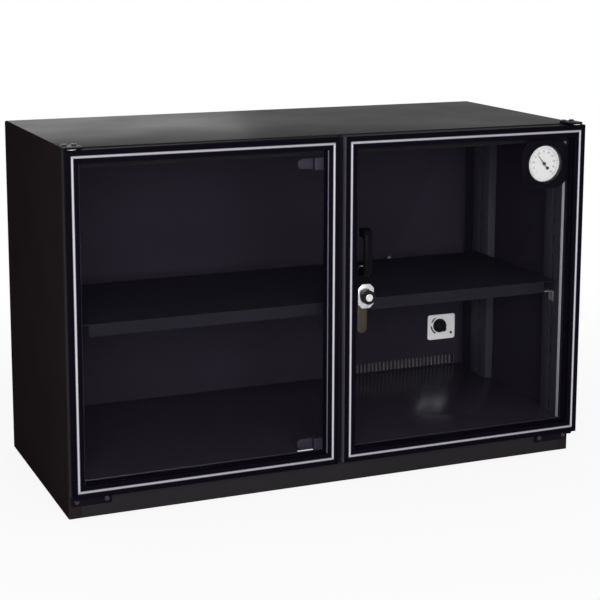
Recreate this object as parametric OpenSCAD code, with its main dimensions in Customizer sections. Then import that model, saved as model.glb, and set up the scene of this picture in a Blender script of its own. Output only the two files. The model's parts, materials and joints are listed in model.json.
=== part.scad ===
// Camera dry cabinet: black sheet-steel body, two glazed doors, one shelf and a drying unit behind.
// X runs left to right, Y front to back, Z up. The cabinet stands on Z = 0.
// Modules work with Y = 0 at the front of the steel body; in_frame() moves them to the part's origin.

/* [Body] */
// Width of the steel body
body_w = 900; // [800:10:1000]
// Depth of the steel body, without the doors
body_d = 385; // [365:5:450]
// Height of the steel body
body_h = 580; // [540:5:700]
// Thickness of the body sheet
sheet_t = 1.5; // [1.2:0.1:2]
// Outside radius of the body's bends
bend_r = 3; // [2.5:0.1:3.5]
// Height of the floor panel's top face
floor_z = 60; // [56:1:70]
// Height of the front header under the top panel
header_h = 31; // [24:1:34]
// Width of the front flange on each side panel
side_flange_w = 20; // [18:1:23]
// Depth of the lip behind each side flange
side_lip_d = 8; // [4:0.5:8]
// Width of the flanges that stiffen the foot
foot_flange_w = 15; // [10:1:18]

/* [Uprights and shelf] */
// How far an upright stands out from the side panel
upright_out = 15; // [12:1:18]
// Width of an upright from front to back
upright_w = 58; // [40:1:60]
// Thickness of the uprights and the shelf clips
upright_t = 1.5; // [1:0.1:2]
// Distance from the body's front to the front upright's slots
front_slot_y = 39; // [38:1:60]
// Distance from the body's front to the rear upright's slots
rear_slot_y = 295; // [240:1:310]
// Distance between slots up the upright
slot_pitch = 33; // [25:1:40]
// Width of a slot
slot_w = 5; // [4:0.5:8]
// Height of a slot
slot_h = 12; // [10:1:16]
// Height of the lowest slot above the floor panel
first_slot_rise = 14; // [10:1:30]
// Slot that carries the shelf, counted from the lowest as 0
shelf_slot = 6; // [4:1:8]
// Depth of the shelf
shelf_d = 280; // [265:5:330]
// Distance from the body's front to the shelf
shelf_front_y = 22; // [14:1:30]
// Height of the shelf's lip
shelf_lip_h = 20; // [14:1:30]
// Thickness of the shelf's sheet
shelf_t = 1.5; // [1:0.1:2]

/* [Doors] */
// Thickness of a door frame
door_t = 20; // [19:0.5:22]
// Gap between the doors and the body, filled by the gasket
door_gap = 6; // [5.8:0.1:8]
// Gap between the two door frames
centre_gap = 10; // [8:0.5:14]
// Height of the doors' lower edge
door_z0 = 40; // [38:0.5:44]
// Clearance above and below a door at its hinges
door_clear = 1; // [0.8:0.1:2]
// Width of the door frame's bars
frame_w = 20; // [19:0.5:26]
// Width of the bright inlay line
trim_w = 4.2; // [3:0.1:4.5]
// Distance from the door's edge to the middle of the inlay line
trim_in = 10.3; // [9:0.1:10.5]
// Thickness of the glass
glass_t = 4; // [3:0.5:5]
// Distance from the door's edge to the glass pocket
pocket_in = 12.5; // [12:0.1:13]
// Distance from the hinge pin to the door's outer edge
pivot_in = 12; // [10:0.1:12]
// Radius of the hinge pins
pin_r = 3; // [2:0.1:3.2]

/* [Handle and lock] */
// Width of the pull handle
handle_w = 13.5; // [12:0.5:30]
// Height of the pull handle
handle_h = 78; // [70:1:110]
// How far the handle stands out from the glass
handle_out = 24; // [20:1:30]
// Distance from the right door's inner edge to the middle of the handle
handle_in = 32.5; // [32:0.5:50]
// Height of the middle of the handle
handle_z = 391; // [375:1:430]
// Distance from the right door's inner edge to the lock's axis
lock_in = 41; // [40:0.5:44]
// Height of the lock's axis
lock_z = 315; // [300:1:320]
// Radius of the lock's face
lock_face_r = 11.5; // [11:0.1:13]
// Length of the lock cam from its axis to its tip
cam_len = 65; // [58:1:70]
// Width of the lock cam
cam_w = 17; // [12:0.5:20]

/* [Latches] */
// Length of a latch lever
lever_len = 41; // [36:1:44]
// Width of a latch lever
lever_w = 17; // [14:0.5:17]
// Thickness of a latch lever
lever_t = 6; // [4:0.5:7]
// Distance from the left door's inner edge to the latch pivots
latch_in = 29; // [26:0.5:32]
// Distance from the door's top edge to the upper latch pivot
upper_latch_drop = 44; // [42:0.5:60]
// Distance from the door's bottom edge to the lower latch pivot
lower_latch_rise = 31; // [31:0.5:33]

/* [Hygrometer] */
// Radius of the dial
dial_r = 30.5; // [28:0.5:34]
// Distance from the right door's outer edge to the middle of the dial
dial_in = 72; // [66:0.5:90]
// Distance from the door's top edge to the middle of the dial
dial_drop = 64.5; // [62:0.5:90]
// Direction in which the needle rests, to the left of straight up
needle_angle = 38; // [0:1:90]

/* [Control plate and drying unit] */
// Width of the control plate
plate_w = 59.5; // [58:0.5:66]
// Height of the control plate
plate_h = 49.5; // [46:0.5:60]
// Distance from the body's right side to the middle of the plate
plate_in = 50.2; // [46:0.1:70]
// Height of the middle of the plate above the floor panel
plate_rise = 77.2; // [69:0.1:80]
// Radius of the control knob
knob_r = 13.5; // [10:0.5:15]
// Distance between vent slots
vent_pitch = 8; // [7.5:0.5:10]
// Width of a vent slot
vent_w = 4; // [2.5:0.5:4]
// Height of a vent slot
vent_h = 17; // [12:1:17]
// Number of vent slots
vent_count = 33; // [20:1:33]
// Depth of the rear cover
cover_d = 38; // [37:1:60]
// Height of the rear cover
cover_h = 136; // [134:1:160]

/* [Hidden] */

// Every circle is a true circle
$fn = 48;
// How far a cut runs past the face that it opens
overrun = 1;
// Radial clearance of a turning fit
run_fit = 0.05;
// Clearance of a fixed piece in its hole
seat_fit = 0.02;
// Clearance between two pieces that pass each other
pass_gap = 0.3;

// Places on the body
half_w = body_w / 2;
inner_x = half_w - sheet_t;
flange_x = half_w - side_flange_w;
inner_back_y = body_d - sheet_t;
bend_z = body_h - bend_r;
bend_x = half_w - bend_r;
header_z = body_h - header_h;
// Joint between the header strip and the fold that it is welded under
header_gap = 0.1;
floor_under_z = floor_z - sheet_t;
// Height of the floor panel's front flange
floor_flange_h = 15;
floor_flange_z = floor_z - floor_flange_h;

// Places on the uprights and the shelf
upright_x = inner_x - upright_out;
first_slot_z = floor_z + first_slot_rise;
slot_count = floor((bend_z - slot_h - first_slot_z) / slot_pitch) + 1;
shelf_slot_z = first_slot_z + shelf_slot * slot_pitch;
// Height of a clip's ledge above the slot that it hooks into
clip_rise = 9;
// Length of a clip's ledge
clip_ledge = 18;
// Width of a clip
clip_w = 14;
// Length of a clip's leg below the ledge
clip_leg = 19;
// How far a clip's tongue reaches behind the upright's face
clip_hook = 4;
shelf_z0 = shelf_slot_z + clip_rise;
shelf_z1 = shelf_z0 + shelf_lip_h;
shelf_x = upright_x - upright_t;
shelf_back_y = shelf_front_y + shelf_d;
// Length left off each end of the shelf's front and rear lips
lip_notch = 25;
// Width of the turned-in edge under the front and rear lips
lip_return = 11;

// Places on the doors
door_z1 = body_h - door_clear;
door_x0 = centre_gap / 2;
door_back_y = -door_gap;
door_front_y = -door_gap - door_t;
door_x_mid = (door_x0 + half_w) / 2;
// Distance from the door's front face to the glass
glass_set = 4;
glass_front_y = door_front_y + glass_set;
glass_back_y = glass_front_y + glass_t;
// Gap along a bar between it and its neighbour at a mitre
mitre_gap = 0.1;
// Clearance of the glass in its pocket
glass_play = 0.1;
// Clearance of the glass at the bottom of its pocket
glass_edge_play = 0.5;
// Depth of the groove for the inlay, and its stand above the frame
trim_groove = 0.8;
trim_stand = 0.4;
// Width of the gasket, its place from the door's edge and its root in the frame
gasket_w = 6;
gasket_in = 13;
gasket_root_w = 4;
gasket_root_d = 4;
gasket_gap = 0.4;
// How far the centre seal stays clear of the right door
seal_gap = 2.5;
// Width of the seal's foot along the stile, its thickness and the seal's end clearance
seal_foot_w = 16;
seal_foot_t = 3.5;
seal_end = 1;
// Radius of the seal's bulb, which fills the gap from the stile to its clearance
seal_r = (centre_gap - seal_gap) / 2;

// Places on the hinges
pivot_x = half_w - pivot_in;
pivot_y = door_back_y - door_t / 2;
// Thickness of the hinge plates
hinge_t = 3;
// How far a plate reaches inward, outward and backward from its pin
hinge_in = 17;
hinge_outward = 11;
hinge_back = 30;
hinge_front = 7;
hinge_corner_r = 7;
// Length of a pin below its plate, and outer radius, length and flange of its bush
pin_len = 10;
bush_r = 5;
bush_len = 10;
bush_flange_r = 7;
bush_gap = 0.1;
// Length and height of the lower bracket's leg on the plinth
bracket_leg_w = 64;
bracket_leg_h = 19;
// Head and shank of the hinge screws
hinge_head_r = 4;
hinge_head_h = 2;
hinge_shank_r = 2;
// Places of the screws along a plate and a bracket
plate_screw_in = 10;
bracket_screw_in = 8;
bracket_top_z = door_z0 - door_clear;

// Places on the latches
latch_x = -door_x0 - latch_in;
upper_latch_z = door_z1 - upper_latch_drop;
lower_latch_z = door_z0 + lower_latch_rise;
lever_r = lever_w / 2;
lever_reach = lever_len - lever_r;
// Clearance between the body's front flanges and the latch levers
latch_clear = 0.8;
lever_y0 = sheet_t + latch_clear;
lever_y1 = lever_y0 + lever_t;
base_y1 = lever_y0 - pass_gap;
// Half height of a latch base and how far it reaches past the pivot
latch_base_half = 9.5;
latch_base_end = 6;
// Distance from the door's inner edge to the base
latch_base_in = 2;
// Pivot screw: shank, depth in the base and head
latch_pin_r = 2.5;
latch_pin_in = 6;
latch_head_r = 5;
latch_head_h = 1.8;
// Fixing screws of a base: place, spread, shank, depth in the frame and head
fixing_in = 10;
fixing_spread = 5;
fixing_r = 1.7;
fixing_depth = 6;
fixing_head_r = 3;
fixing_head_h = 1.6;
// Clearance around a lever in the floor slot
keeper_clear = 0.8;

// Places on the handle
handle_x = door_x0 + handle_in;
handle_y = glass_front_y - handle_out;
// Thickness of the handle's bar and height of its feet
handle_bar = 8;
handle_foot = 14;
// Radius of the handle's outer and inner corners
handle_outer_r = 13;
handle_inner_r = 6;
// Radius of the crown across the handle's front
handle_crown_r = 15;
// Screws of the handle
handle_screw_r = 2;
handle_screw_in = 10;
handle_head_r = 4.5;
handle_head_h = 3;
glass_hole_clear = 0.8;

// Places on the lock
lock_x = door_x0 + lock_in;
lock_head = 9;
lock_face_y = glass_front_y - lock_head;
lock_body_r = 9.5;
plug_r = 6;
// How far the plug's face stands out of the barrel
plug_stand = 0.4;
// Gap between the door frame's back and the cam
cam_gap = 2;
cam_t = 3;
cam_y0 = door_back_y + cam_gap;
cam_y1 = cam_y0 + cam_t;
plug_neck_r = 4;
// Key slot in the plug
key_w = 2;
key_h = 7;
key_d = 3;
// Clamp plate and hexagon of the lock nut
nut_plate_w = 28;
nut_plate_h = 40;
nut_plate_t = 2;
nut_chamfer = 7;
nut_hex_r = 14;
nut_hex_h = 5;
// Cam screw
cam_head_r = 5;
cam_head_h = 2.5;
cam_shank_r = 1.8;
cam_shank_len = 8;

// Places on the hygrometer
dial_x = half_w - dial_in;
dial_z = door_z1 - dial_drop;
// Mounting plate behind the glass
dial_plate_w = 90;
dial_plate_h = 84;
dial_plate_r = 26;
dial_plate_t = 1.5;
dial_plate_y = glass_back_y + dial_plate_t;
// Housing: wall, depth and ledge that carries the dial
housing_wall = 4;
housing_d = 12;
dial_ledge = 3;
dial_sunk = 4;
dial_t = 1;
dial_play = 0.1;
lens_t = 1.2;
lens_lap = 1.5;
// Needle: thickness, place in front of the dial, half width, tip, tail and hub
needle_t = 0.8;
needle_lift = 1;
needle_half_w = 1;
needle_len = 24;
needle_tail = 9;
tail_r = 2;
hub_r = 2.6;
hub_t = 1.6;
arbor_r = 1;
arbor_len = 5;
dial_y = dial_plate_y + dial_sunk;
housing_r = dial_r + housing_wall;
housing_back_y = dial_plate_y + housing_d;

// Places on the control plate
plate_x = half_w - plate_in;
plate_z = floor_z + plate_rise;
plate_t = 1.5;
plate_r = 5;
plate_y = inner_back_y - plate_t;
// Place of the knob and the lamp from the middle of the plate
knob_dx = -5.2;
knob_dz = 3.5;
lamp_dx = 21.2;
lamp_dz = -13;
knob_x = plate_x + knob_dx;
knob_z = plate_z + knob_dz;
lamp_x = plate_x + lamp_dx;
lamp_z = plate_z + lamp_dz;
// Knob: skirt, grip and their depths
knob_skirt_d = 4;
knob_d = 14;
knob_gap = 0.6;
grip_half_w = 3.5;
grip_r = 11;
// Direction in which the knob points at rest, to the left of straight up
knob_angle = 40;
knob_front_y = plate_y - knob_gap - knob_d;
// Shaft of the humidistat and its bush through the panel
shaft_r = 3;
shaft_in_knob = 9;
shaft_in_body = 10;
stem_r = 4.8;
humidistat_w = 30;
humidistat_d = 16;
lamp_r = 2.5;
lamp_stand = 1.2;

// Places on the drying unit
vent_x1 = half_w - side_flange_w - vent_w / 2;
vent_x0 = vent_x1 - (vent_count - 1) * vent_pitch;
// Height of the vent slots' lower ends above the floor panel
vent_rise = 2;
vent_z0 = floor_z + vent_rise;
vent_z1 = vent_z0 + vent_h;
// Shutter: thickness, edge around the slots and travel
shutter_t = 1;
shutter_edge = 5;
shutter_travel = vent_pitch / 2;
shutter_y = body_d + pass_gap;
shutter_x0 = vent_x0 - vent_w / 2 - shutter_edge;
shutter_x1 = vent_x1 + vent_w / 2 + shutter_edge;
shutter_z0 = vent_z0 - shutter_edge;
shutter_z1 = vent_z1 + shutter_edge;
// Case: wall, depth, height above the shutter, and the guides below and above the shutter
case_wall = 2;
case_d = 31;
case_over = 18;
guide_h = 5;
guide_d = 3.5;
guide_t = 3;
case_y0 = shutter_y + shutter_t + pass_gap;
case_y1 = case_y0 + case_d;
case_x0 = shutter_x0 - case_wall;
case_x1 = shutter_x1 + case_wall;
case_z0 = shutter_z0 - pass_gap - guide_h;
case_z1 = shutter_z1 + case_over;
// Desiccant pack and heater plate inside the case
pack_y0 = case_y0 + 2 * case_wall;
pack_d = 15;
pack_side = 8;
pack_top = 6;
heater_t = 3;
heater_gap = 1.5;
heater_side = 16;
// Solenoid on top of the case, and the shutter's arm and plunger
coil_in = 30;
coil_back = 11;
coil_len = 30;
coil_w = 16;
coil_x0 = case_x0 + coil_in;
coil_x1 = coil_x0 + coil_len;
coil_y = case_y0 + coil_back;
coil_z = case_z1 + coil_w / 2;
plunger_r = 2.5;
plunger_out = 14;
plunger_in = 14;
arm_t = 1.5;
arm_w = 7;
arm_x = coil_x1 + plunger_out;
arm_notch_clear = 1.5;
// Circuit board behind the humidistat
board_t = 1.6;
board_w = 96;
board_h = 56;
board_left = 65;
board_y = body_d + humidistat_d;
board_x0 = knob_x - board_left;
board_z0 = case_z1 + case_wall;
relay_in = 18;
relay_rise = 14;
relay_w = 18;
relay_h = 14;
relay_d = 12;
can_r = 6;
can_d = 13;
can_pitch = 18;
can_rise = 18;
// Rear cover: wall, side clearance to the case, flanges and their screws
cover_wall = 1.2;
cover_side = 4;
cover_drop = 10;
cover_flange = 12;
cover_x0 = case_x0 - cover_side;
cover_x1 = case_x1 + cover_side;
cover_z0 = case_z0 - cover_drop;
cover_z1 = cover_z0 + cover_h;
cover_y1 = body_d + cover_d;
cover_screw_r = 1.5;
cover_head_r = 4;
cover_head_h = 2;
cover_screws = 3;
// Louvre slots in the rear cover
louvre_count = 14;
louvre_w = 5;
louvre_h = 34;
louvre_rise = 24;
// Places of the first and last louvre from the cover's ends
louvre_left = 60;
louvre_right = 20;
louvre_x0 = cover_x0 + louvre_left;
louvre_x1 = cover_x1 - louvre_right;
// Power inlet in the rear cover
inlet_in = 46;
inlet_drop = 22;
inlet_x = cover_x0 + inlet_in;
inlet_z = cover_z1 - inlet_drop;
inlet_w = 30;
inlet_h = 20;
inlet_flange = 3;
inlet_flange_t = 1.5;
inlet_d = 15;
socket_w = 21;
socket_h = 11;
socket_d = 12;
socket_r = 3.6;
inlet_pin_r = 1.2;
inlet_pin_len = 6;
inlet_pin_gap = 8.6;
// Bright plug in the back panel
plug_in = 165;
plug_rise = 224;
plug_x = half_w - plug_in;
plug_z = floor_z + plug_rise;
plug_hole_r = 2.5;
plug_head_r = 4;
plug_head_h = 1.6;
plug_stem = 3;

// The part's origin is under the middle of its whole depth, handle and inlet included
front_y = handle_y;
rear_y = cover_y1 + inlet_flange_t;
shift_y = -(front_y + rear_y) / 2;

// Colours as in the photo
black_steel = [0.11, 0.1, 0.12];
black_frame = [0.07, 0.06, 0.09];
black_plastic = [0.06, 0.06, 0.07];
bright_steel = [0.75, 0.75, 0.78];
rubber_black = [0.04, 0.04, 0.04];
clear_glass = [0.6, 0.65, 0.7, 0.25];
white_face = [0.93, 0.93, 0.92];

// Helpers

module in_frame() {
    translate([0, shift_y, 0]) children();
}

module left_copy() {
    mirror([1, 0, 0]) children();
}

// A block between two limits on each axis
module block(x0, x1, y0, y1, z0, z1) {
    translate([x0, y0, z0]) cube([x1 - x0, y1 - y0, z1 - z0]);
}

// A round bar along Y
module y_bar(x, z, r, y0, y1) {
    translate([x, y0, z]) rotate([-90, 0, 0]) cylinder(r = r, h = y1 - y0);
}

// A round bar along Z
module z_bar(x, y, r, z0, z1) {
    translate([x, y, z0]) cylinder(r = r, h = z1 - z0);
}

// A round bar along X
module x_bar(y, z, r, x0, x1) {
    translate([x0, y, z]) rotate([0, 90, 0]) cylinder(r = r, h = x1 - x0);
}

// A flat shape drawn in X and Z, given a thickness along Y
module xz_plate(y0, y1) {
    translate([0, y1, 0]) rotate([90, 0, 0]) linear_extrude(y1 - y0) children();
}

// A flat shape drawn in Y and Z, given a length along X
module yz_bar(x0, x1) {
    translate([x0, 0, 0]) rotate([90, 0, 90]) linear_extrude(x1 - x0) children();
}

module rounded_square(w, h, r) {
    square([w - 2 * r, h], center = true);
    square([w, h - 2 * r], center = true);
    for (side = [-1, 1], level = [-1, 1])
        translate([side * (w / 2 - r), level * (h / 2 - r)]) circle(r = r);
}

// A quarter of a bent sheet's ring, open towards plus X and plus Y
module quarter_bend() {
    intersection() {
        difference() {
            circle(r = bend_r);
            circle(r = bend_r - sheet_t);
        }
        square(bend_r);
    }
}

// Corner points of the right door, drawn in by an inset
function door_corners(inset) = [
    [door_x0 + inset, door_z0 + inset],
    [half_w - inset, door_z0 + inset],
    [half_w - inset, door_z1 - inset],
    [door_x0 + inset, door_z1 - inset]];

// Which way each side of the ring runs: 0 bottom, 1 hinge side, 2 top, 3 inner side
side_ways = [[1, 0], [0, 1], [-1, 0], [0, -1]];

// One bar of a ring around the door, with a hairline gap at its mitres
module mitred_bar(side, outer_inset, inner_inset) {
    outer = door_corners(outer_inset);
    inner = door_corners(inner_inset);
    next = (side + 1) % 4;
    gap = side_ways[side] * mitre_gap / 2;
    polygon([outer[side] + gap, outer[next] - gap, inner[next] - gap, inner[side] + gap]);
}

module door_rectangle(inset) {
    polygon(door_corners(inset));
}

// Body

module top_panel() color(black_steel) in_frame() {
    block(-bend_x, bend_x, bend_r, body_d, body_h - sheet_t, body_h);
    block(-bend_x, bend_x, 0, sheet_t, header_z, bend_z - header_gap);
    yz_bar(-bend_x, bend_x) translate([bend_r, bend_z]) mirror([1, 0]) quarter_bend();
}

// Right side panel: web, rounded front corner, flange, lip and foot
module side_panel_shape() {
    block(inner_x, half_w, bend_r, body_d, 0, bend_z);
    translate([bend_x, bend_r, 0]) linear_extrude(bend_z) mirror([0, 1]) quarter_bend();
    block(flange_x, bend_x, 0, sheet_t, 0, header_z);
    block(flange_x, flange_x + sheet_t, sheet_t, sheet_t + side_lip_d, floor_z, header_z);
    block(inner_x - foot_flange_w, inner_x, bend_r, inner_back_y, 0, sheet_t);
    intersection() {
        xz_plate(0, body_d) translate([bend_x, bend_z]) quarter_bend();
        translate([bend_x, bend_r, bend_z]) linear_extrude(bend_r) {
            circle(r = bend_r);
            square([bend_r, body_d]);
        }
    }
}

module left_side_panel() color(black_steel) in_frame() left_copy() side_panel_shape();

module right_side_panel() color(black_steel) in_frame() side_panel_shape();

module back_panel() color(black_steel) in_frame() difference() {
    union() {
        block(-inner_x, inner_x, inner_back_y, body_d, 0, bend_z);
        block(-bend_x, bend_x, inner_back_y, body_d, bend_z, body_h - sheet_t);
    }
    for (i = [0 : vent_count - 1])
        translate([vent_x0 + i * vent_pitch - vent_w / 2, inner_back_y - overrun, vent_z0])
            cube([vent_w, sheet_t + 2 * overrun, vent_h]);
    y_bar(knob_x, knob_z, stem_r + seat_fit, inner_back_y - overrun, body_d + overrun);
    y_bar(lamp_x, lamp_z, lamp_r + seat_fit, inner_back_y - overrun, body_d + overrun);
    y_bar(plug_x, plug_z, plug_hole_r + seat_fit, inner_back_y - overrun, body_d + overrun);
    cover_screw_places() y_bar(0, 0, cover_screw_r + seat_fit, inner_back_y - overrun,
        body_d + overrun);
}

module floor_panel() color(black_steel) in_frame() difference() {
    union() {
        block(-inner_x, inner_x, bend_r, inner_back_y, floor_under_z, floor_z);
        block(-bend_x, bend_x, sheet_t, bend_r, floor_under_z, floor_z);
        block(-flange_x, flange_x, 0, sheet_t, floor_flange_z, floor_z);
    }
    keeper_slot();
}

// The slot that takes the lower latch lever when it is turned down
module keeper_slot() {
    drop = lower_latch_z - floor_z;
    sweep = sqrt(lever_reach * lever_reach - drop * drop);
    block(latch_x - sweep - keeper_clear, latch_x + lever_r + keeper_clear, sheet_t,
        lever_y1 + keeper_clear, floor_under_z - overrun, floor_z + overrun);
}

module plinth_rail() color(black_steel) in_frame() {
    block(-flange_x, flange_x, 0, sheet_t, 0, floor_flange_z);
    block(-flange_x, flange_x, sheet_t, sheet_t + foot_flange_w, 0, sheet_t);
}

module rear_base_rail() color(black_steel) in_frame() {
    block(-flange_x, flange_x, inner_back_y - sheet_t, inner_back_y, 0, floor_under_z);
    for (z = [0, floor_under_z - sheet_t])
        block(-flange_x, flange_x, inner_back_y - sheet_t - foot_flange_w,
            inner_back_y - sheet_t, z, z + sheet_t);
}

// Uprights and shelf

// Right-hand upright, a slotted channel against the side panel
module upright_shape(slot_y) {
    y0 = slot_y - upright_w / 2;
    y1 = slot_y + upright_w / 2;
    difference() {
        block(upright_x, upright_x + upright_t, y0, y1, floor_z, bend_z);
        for (i = [0 : slot_count - 1])
            translate([upright_x - overrun, slot_y - slot_w / 2,
                    first_slot_z + i * slot_pitch - slot_h / 2])
                cube([upright_t + 2 * overrun, slot_w, slot_h]);
    }
    for (y = [y0, y1 - upright_t])
        block(upright_x + upright_t, inner_x, y, y + upright_t, floor_z, bend_z);
}

module left_front_upright() color(black_steel) in_frame() left_copy() upright_shape(front_slot_y);

module left_rear_upright() color(black_steel) in_frame() left_copy() upright_shape(rear_slot_y);

module right_front_upright() color(black_steel) in_frame() upright_shape(front_slot_y);

module right_rear_upright() color(black_steel) in_frame() upright_shape(rear_slot_y);

module shelf() color(black_steel) in_frame() {
    lip_x = shelf_x - lip_notch;
    block(-shelf_x, shelf_x, shelf_front_y, shelf_back_y, shelf_z1 - shelf_t, shelf_z1);
    block(-lip_x, lip_x, shelf_front_y, shelf_front_y + shelf_t, shelf_z0, shelf_z1 - shelf_t);
    block(-lip_x, lip_x, shelf_back_y - shelf_t, shelf_back_y, shelf_z0, shelf_z1 - shelf_t);
    block(-lip_x, lip_x, shelf_front_y + shelf_t, shelf_front_y + lip_return, shelf_z0,
        shelf_z0 + shelf_t);
    block(-lip_x, lip_x, shelf_back_y - lip_return, shelf_back_y - shelf_t, shelf_z0,
        shelf_z0 + shelf_t);
    for (x = [-shelf_x, shelf_x - shelf_t])
        block(x, x + shelf_t, shelf_front_y, shelf_back_y, shelf_z0, shelf_z1 - shelf_t);
}

// Bent clip that hooks into a slot and carries the shelf's side lip
module clip_shape(slot_y) {
    y0 = slot_y - clip_w / 2;
    y1 = slot_y + clip_w / 2;
    tongue_w = slot_w - 2 * pass_gap;
    tongue_h = slot_h - 2 * overrun;
    block(upright_x - clip_ledge, upright_x, y0, y1, shelf_z0 - upright_t, shelf_z0);
    block(upright_x - upright_t, upright_x, y0, y1, shelf_z0 - clip_leg, shelf_z0 - upright_t);
    block(upright_x, upright_x + clip_hook, slot_y - tongue_w / 2, slot_y + tongue_w / 2,
        shelf_slot_z - tongue_h / 2, shelf_slot_z + tongue_h / 2);
}

module shelf_clips() color(bright_steel) in_frame() {
    for (slot_y = [front_slot_y, rear_slot_y]) {
        clip_shape(slot_y);
        left_copy() clip_shape(slot_y);
    }
}

// Hinges

// Plate on the top panel, with its pin down into the right door
module upper_hinge_shape() {
    plate_x0 = pivot_x - hinge_in;
    plate_x1 = pivot_x + hinge_outward;
    difference() {
        translate([(plate_x0 + plate_x1) / 2, pivot_y + (hinge_back - hinge_front) / 2, body_h])
            linear_extrude(hinge_t)
                rounded_square(plate_x1 - plate_x0, hinge_back + hinge_front, hinge_corner_r);
        upper_screw_places() z_bar(0, 0, hinge_shank_r + seat_fit, body_h - overrun,
            body_h + hinge_t + overrun);
    }
    z_bar(pivot_x, pivot_y, pin_r, body_h - pin_len, body_h);
}

module upper_screw_places() {
    for (x = [pivot_x - plate_screw_in, pivot_x + plate_screw_in / 2])
        translate([x, pivot_y + hinge_back - hinge_front, 0]) children();
}

// Bracket on the plinth, with its pin up into the right door
module lower_hinge_shape() {
    leg_x1 = pivot_x + hinge_outward - hinge_t;
    difference() {
        block(leg_x1 - bracket_leg_w, leg_x1, -hinge_t, 0, bracket_top_z - bracket_leg_h,
            bracket_top_z);
        lower_screw_places() y_bar(0, 0, hinge_shank_r + seat_fit, -hinge_t - overrun, overrun);
    }
    intersection() {
        translate([0, 0, bracket_top_z - hinge_t]) linear_extrude(hinge_t) {
            translate([pivot_x, pivot_y]) circle(r = hinge_outward - hinge_t);
            translate([pivot_x - hinge_outward + hinge_t, pivot_y])
                square([2 * (hinge_outward - hinge_t), -pivot_y]);
        }
        block(0, half_w, door_front_y, -hinge_t, 0, door_z0);
    }
    z_bar(pivot_x, pivot_y, pin_r, bracket_top_z, bracket_top_z + pin_len);
}

module lower_screw_places() {
    leg_x1 = pivot_x + hinge_outward - hinge_t;
    for (x = [leg_x1 - bracket_leg_w + bracket_screw_in, leg_x1 - bracket_screw_in])
        translate([x, 0, bracket_top_z - bracket_leg_h / 2 - hinge_t / 2]) children();
}

module upper_left_hinge_plate() color(black_plastic) in_frame() left_copy() upper_hinge_shape();

module upper_right_hinge_plate() color(black_plastic) in_frame() upper_hinge_shape();

module lower_left_hinge_bracket() color(black_plastic) in_frame() left_copy() lower_hinge_shape();

module lower_right_hinge_bracket() color(black_plastic) in_frame() lower_hinge_shape();

// The screws stop at the panels, which they are tapped into
module hinge_screws() color(bright_steel) in_frame() {
    for (side = [0, 1]) mirror([side, 0, 0]) {
        upper_screw_places() {
            z_bar(0, 0, hinge_head_r, body_h + hinge_t, body_h + hinge_t + hinge_head_h);
            z_bar(0, 0, hinge_shank_r, body_h, body_h + hinge_t);
        }
        lower_screw_places() {
            y_bar(0, 0, hinge_head_r, -hinge_t - hinge_head_h, -hinge_t);
            y_bar(0, 0, hinge_shank_r, -hinge_t, 0);
        }
    }
}

// Doors

// The four mitred bars of the right door; children are cut out of them
module door_frame_shape() {
    for (side = [0 : 3]) difference() {
        xz_plate(door_front_y, door_back_y) mitred_bar(side, 0, frame_w);
        xz_plate(glass_front_y - glass_play, glass_back_y + glass_play)
            door_rectangle(pocket_in);
        xz_plate(door_front_y - overrun, door_front_y + trim_groove) difference() {
            door_rectangle(trim_in - trim_w / 2);
            door_rectangle(trim_in + trim_w / 2);
        }
        if (side < 3) xz_plate(door_back_y - gasket_root_d, door_back_y + overrun)
            gasket_bar(side, gasket_root_w);
        z_bar(pivot_x, pivot_y, bush_r + seat_fit, door_z0 - overrun, door_z0 + bush_len);
        z_bar(pivot_x, pivot_y, bush_r + seat_fit, door_z1 - bush_len, door_z1 + overrun);
        children();
    }
}

// One side of the gasket's ring, as wide as asked
module gasket_bar(side, w) {
    middle = gasket_in + gasket_w / 2;
    mitred_bar(side, middle - w / 2, middle + w / 2);
}

module door_trim_shape() {
    for (side = [0 : 3])
        xz_plate(door_front_y - trim_stand, door_front_y + trim_groove)
            mitred_bar(side, trim_in - trim_w / 2, trim_in + trim_w / 2);
}

module door_glass_shape() {
    xz_plate(glass_front_y, glass_back_y) door_rectangle(pocket_in + glass_edge_play);
}

module door_gasket_shape() {
    for (side = [0 : 2]) {
        xz_plate(door_back_y, -gasket_gap) gasket_bar(side, gasket_w);
        xz_plate(door_back_y - gasket_root_d, door_back_y) gasket_bar(side, gasket_root_w);
    }
}

module door_bushes_shape() {
    difference() {
        union() {
            z_bar(pivot_x, pivot_y, bush_r, door_z0, door_z0 + bush_len);
            z_bar(pivot_x, pivot_y, bush_flange_r, bracket_top_z + bush_gap, door_z0);
        }
        z_bar(pivot_x, pivot_y, pin_r + run_fit, 0, door_z0 + bush_len + overrun);
    }
    difference() {
        union() {
            z_bar(pivot_x, pivot_y, bush_r, door_z1 - bush_len, door_z1);
            z_bar(pivot_x, pivot_y, bush_flange_r, door_z1, body_h - bush_gap);
        }
        z_bar(pivot_x, pivot_y, pin_r + run_fit, door_z1 - bush_len - overrun,
            body_h + overrun);
    }
}

module left_door_frame() color(black_frame) in_frame() left_copy() door_frame_shape()
    left_copy() fixing_places() y_bar(0, 0, fixing_r + seat_fit, door_back_y - fixing_depth,
        overrun);

module left_door_trim() color(bright_steel) in_frame() left_copy() door_trim_shape();

module left_door_glass() color(clear_glass) in_frame() left_copy() door_glass_shape();

module left_door_gasket() color(rubber_black) in_frame() left_copy() door_gasket_shape();

// Bulb seal along the left door's inner edge, short of the right door
module centre_seal() color(rubber_black) in_frame()
    translate([0, 0, door_z0 + seal_end]) linear_extrude(door_z1 - door_z0 - 2 * seal_end) {
        translate([-door_x0, pivot_y - seal_foot_w / 2]) square([seal_foot_t, seal_foot_w]);
        translate([seal_r - door_x0, pivot_y]) circle(r = seal_r);
    }

module left_door_bushes() color(bright_steel) in_frame() left_copy() door_bushes_shape();

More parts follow.
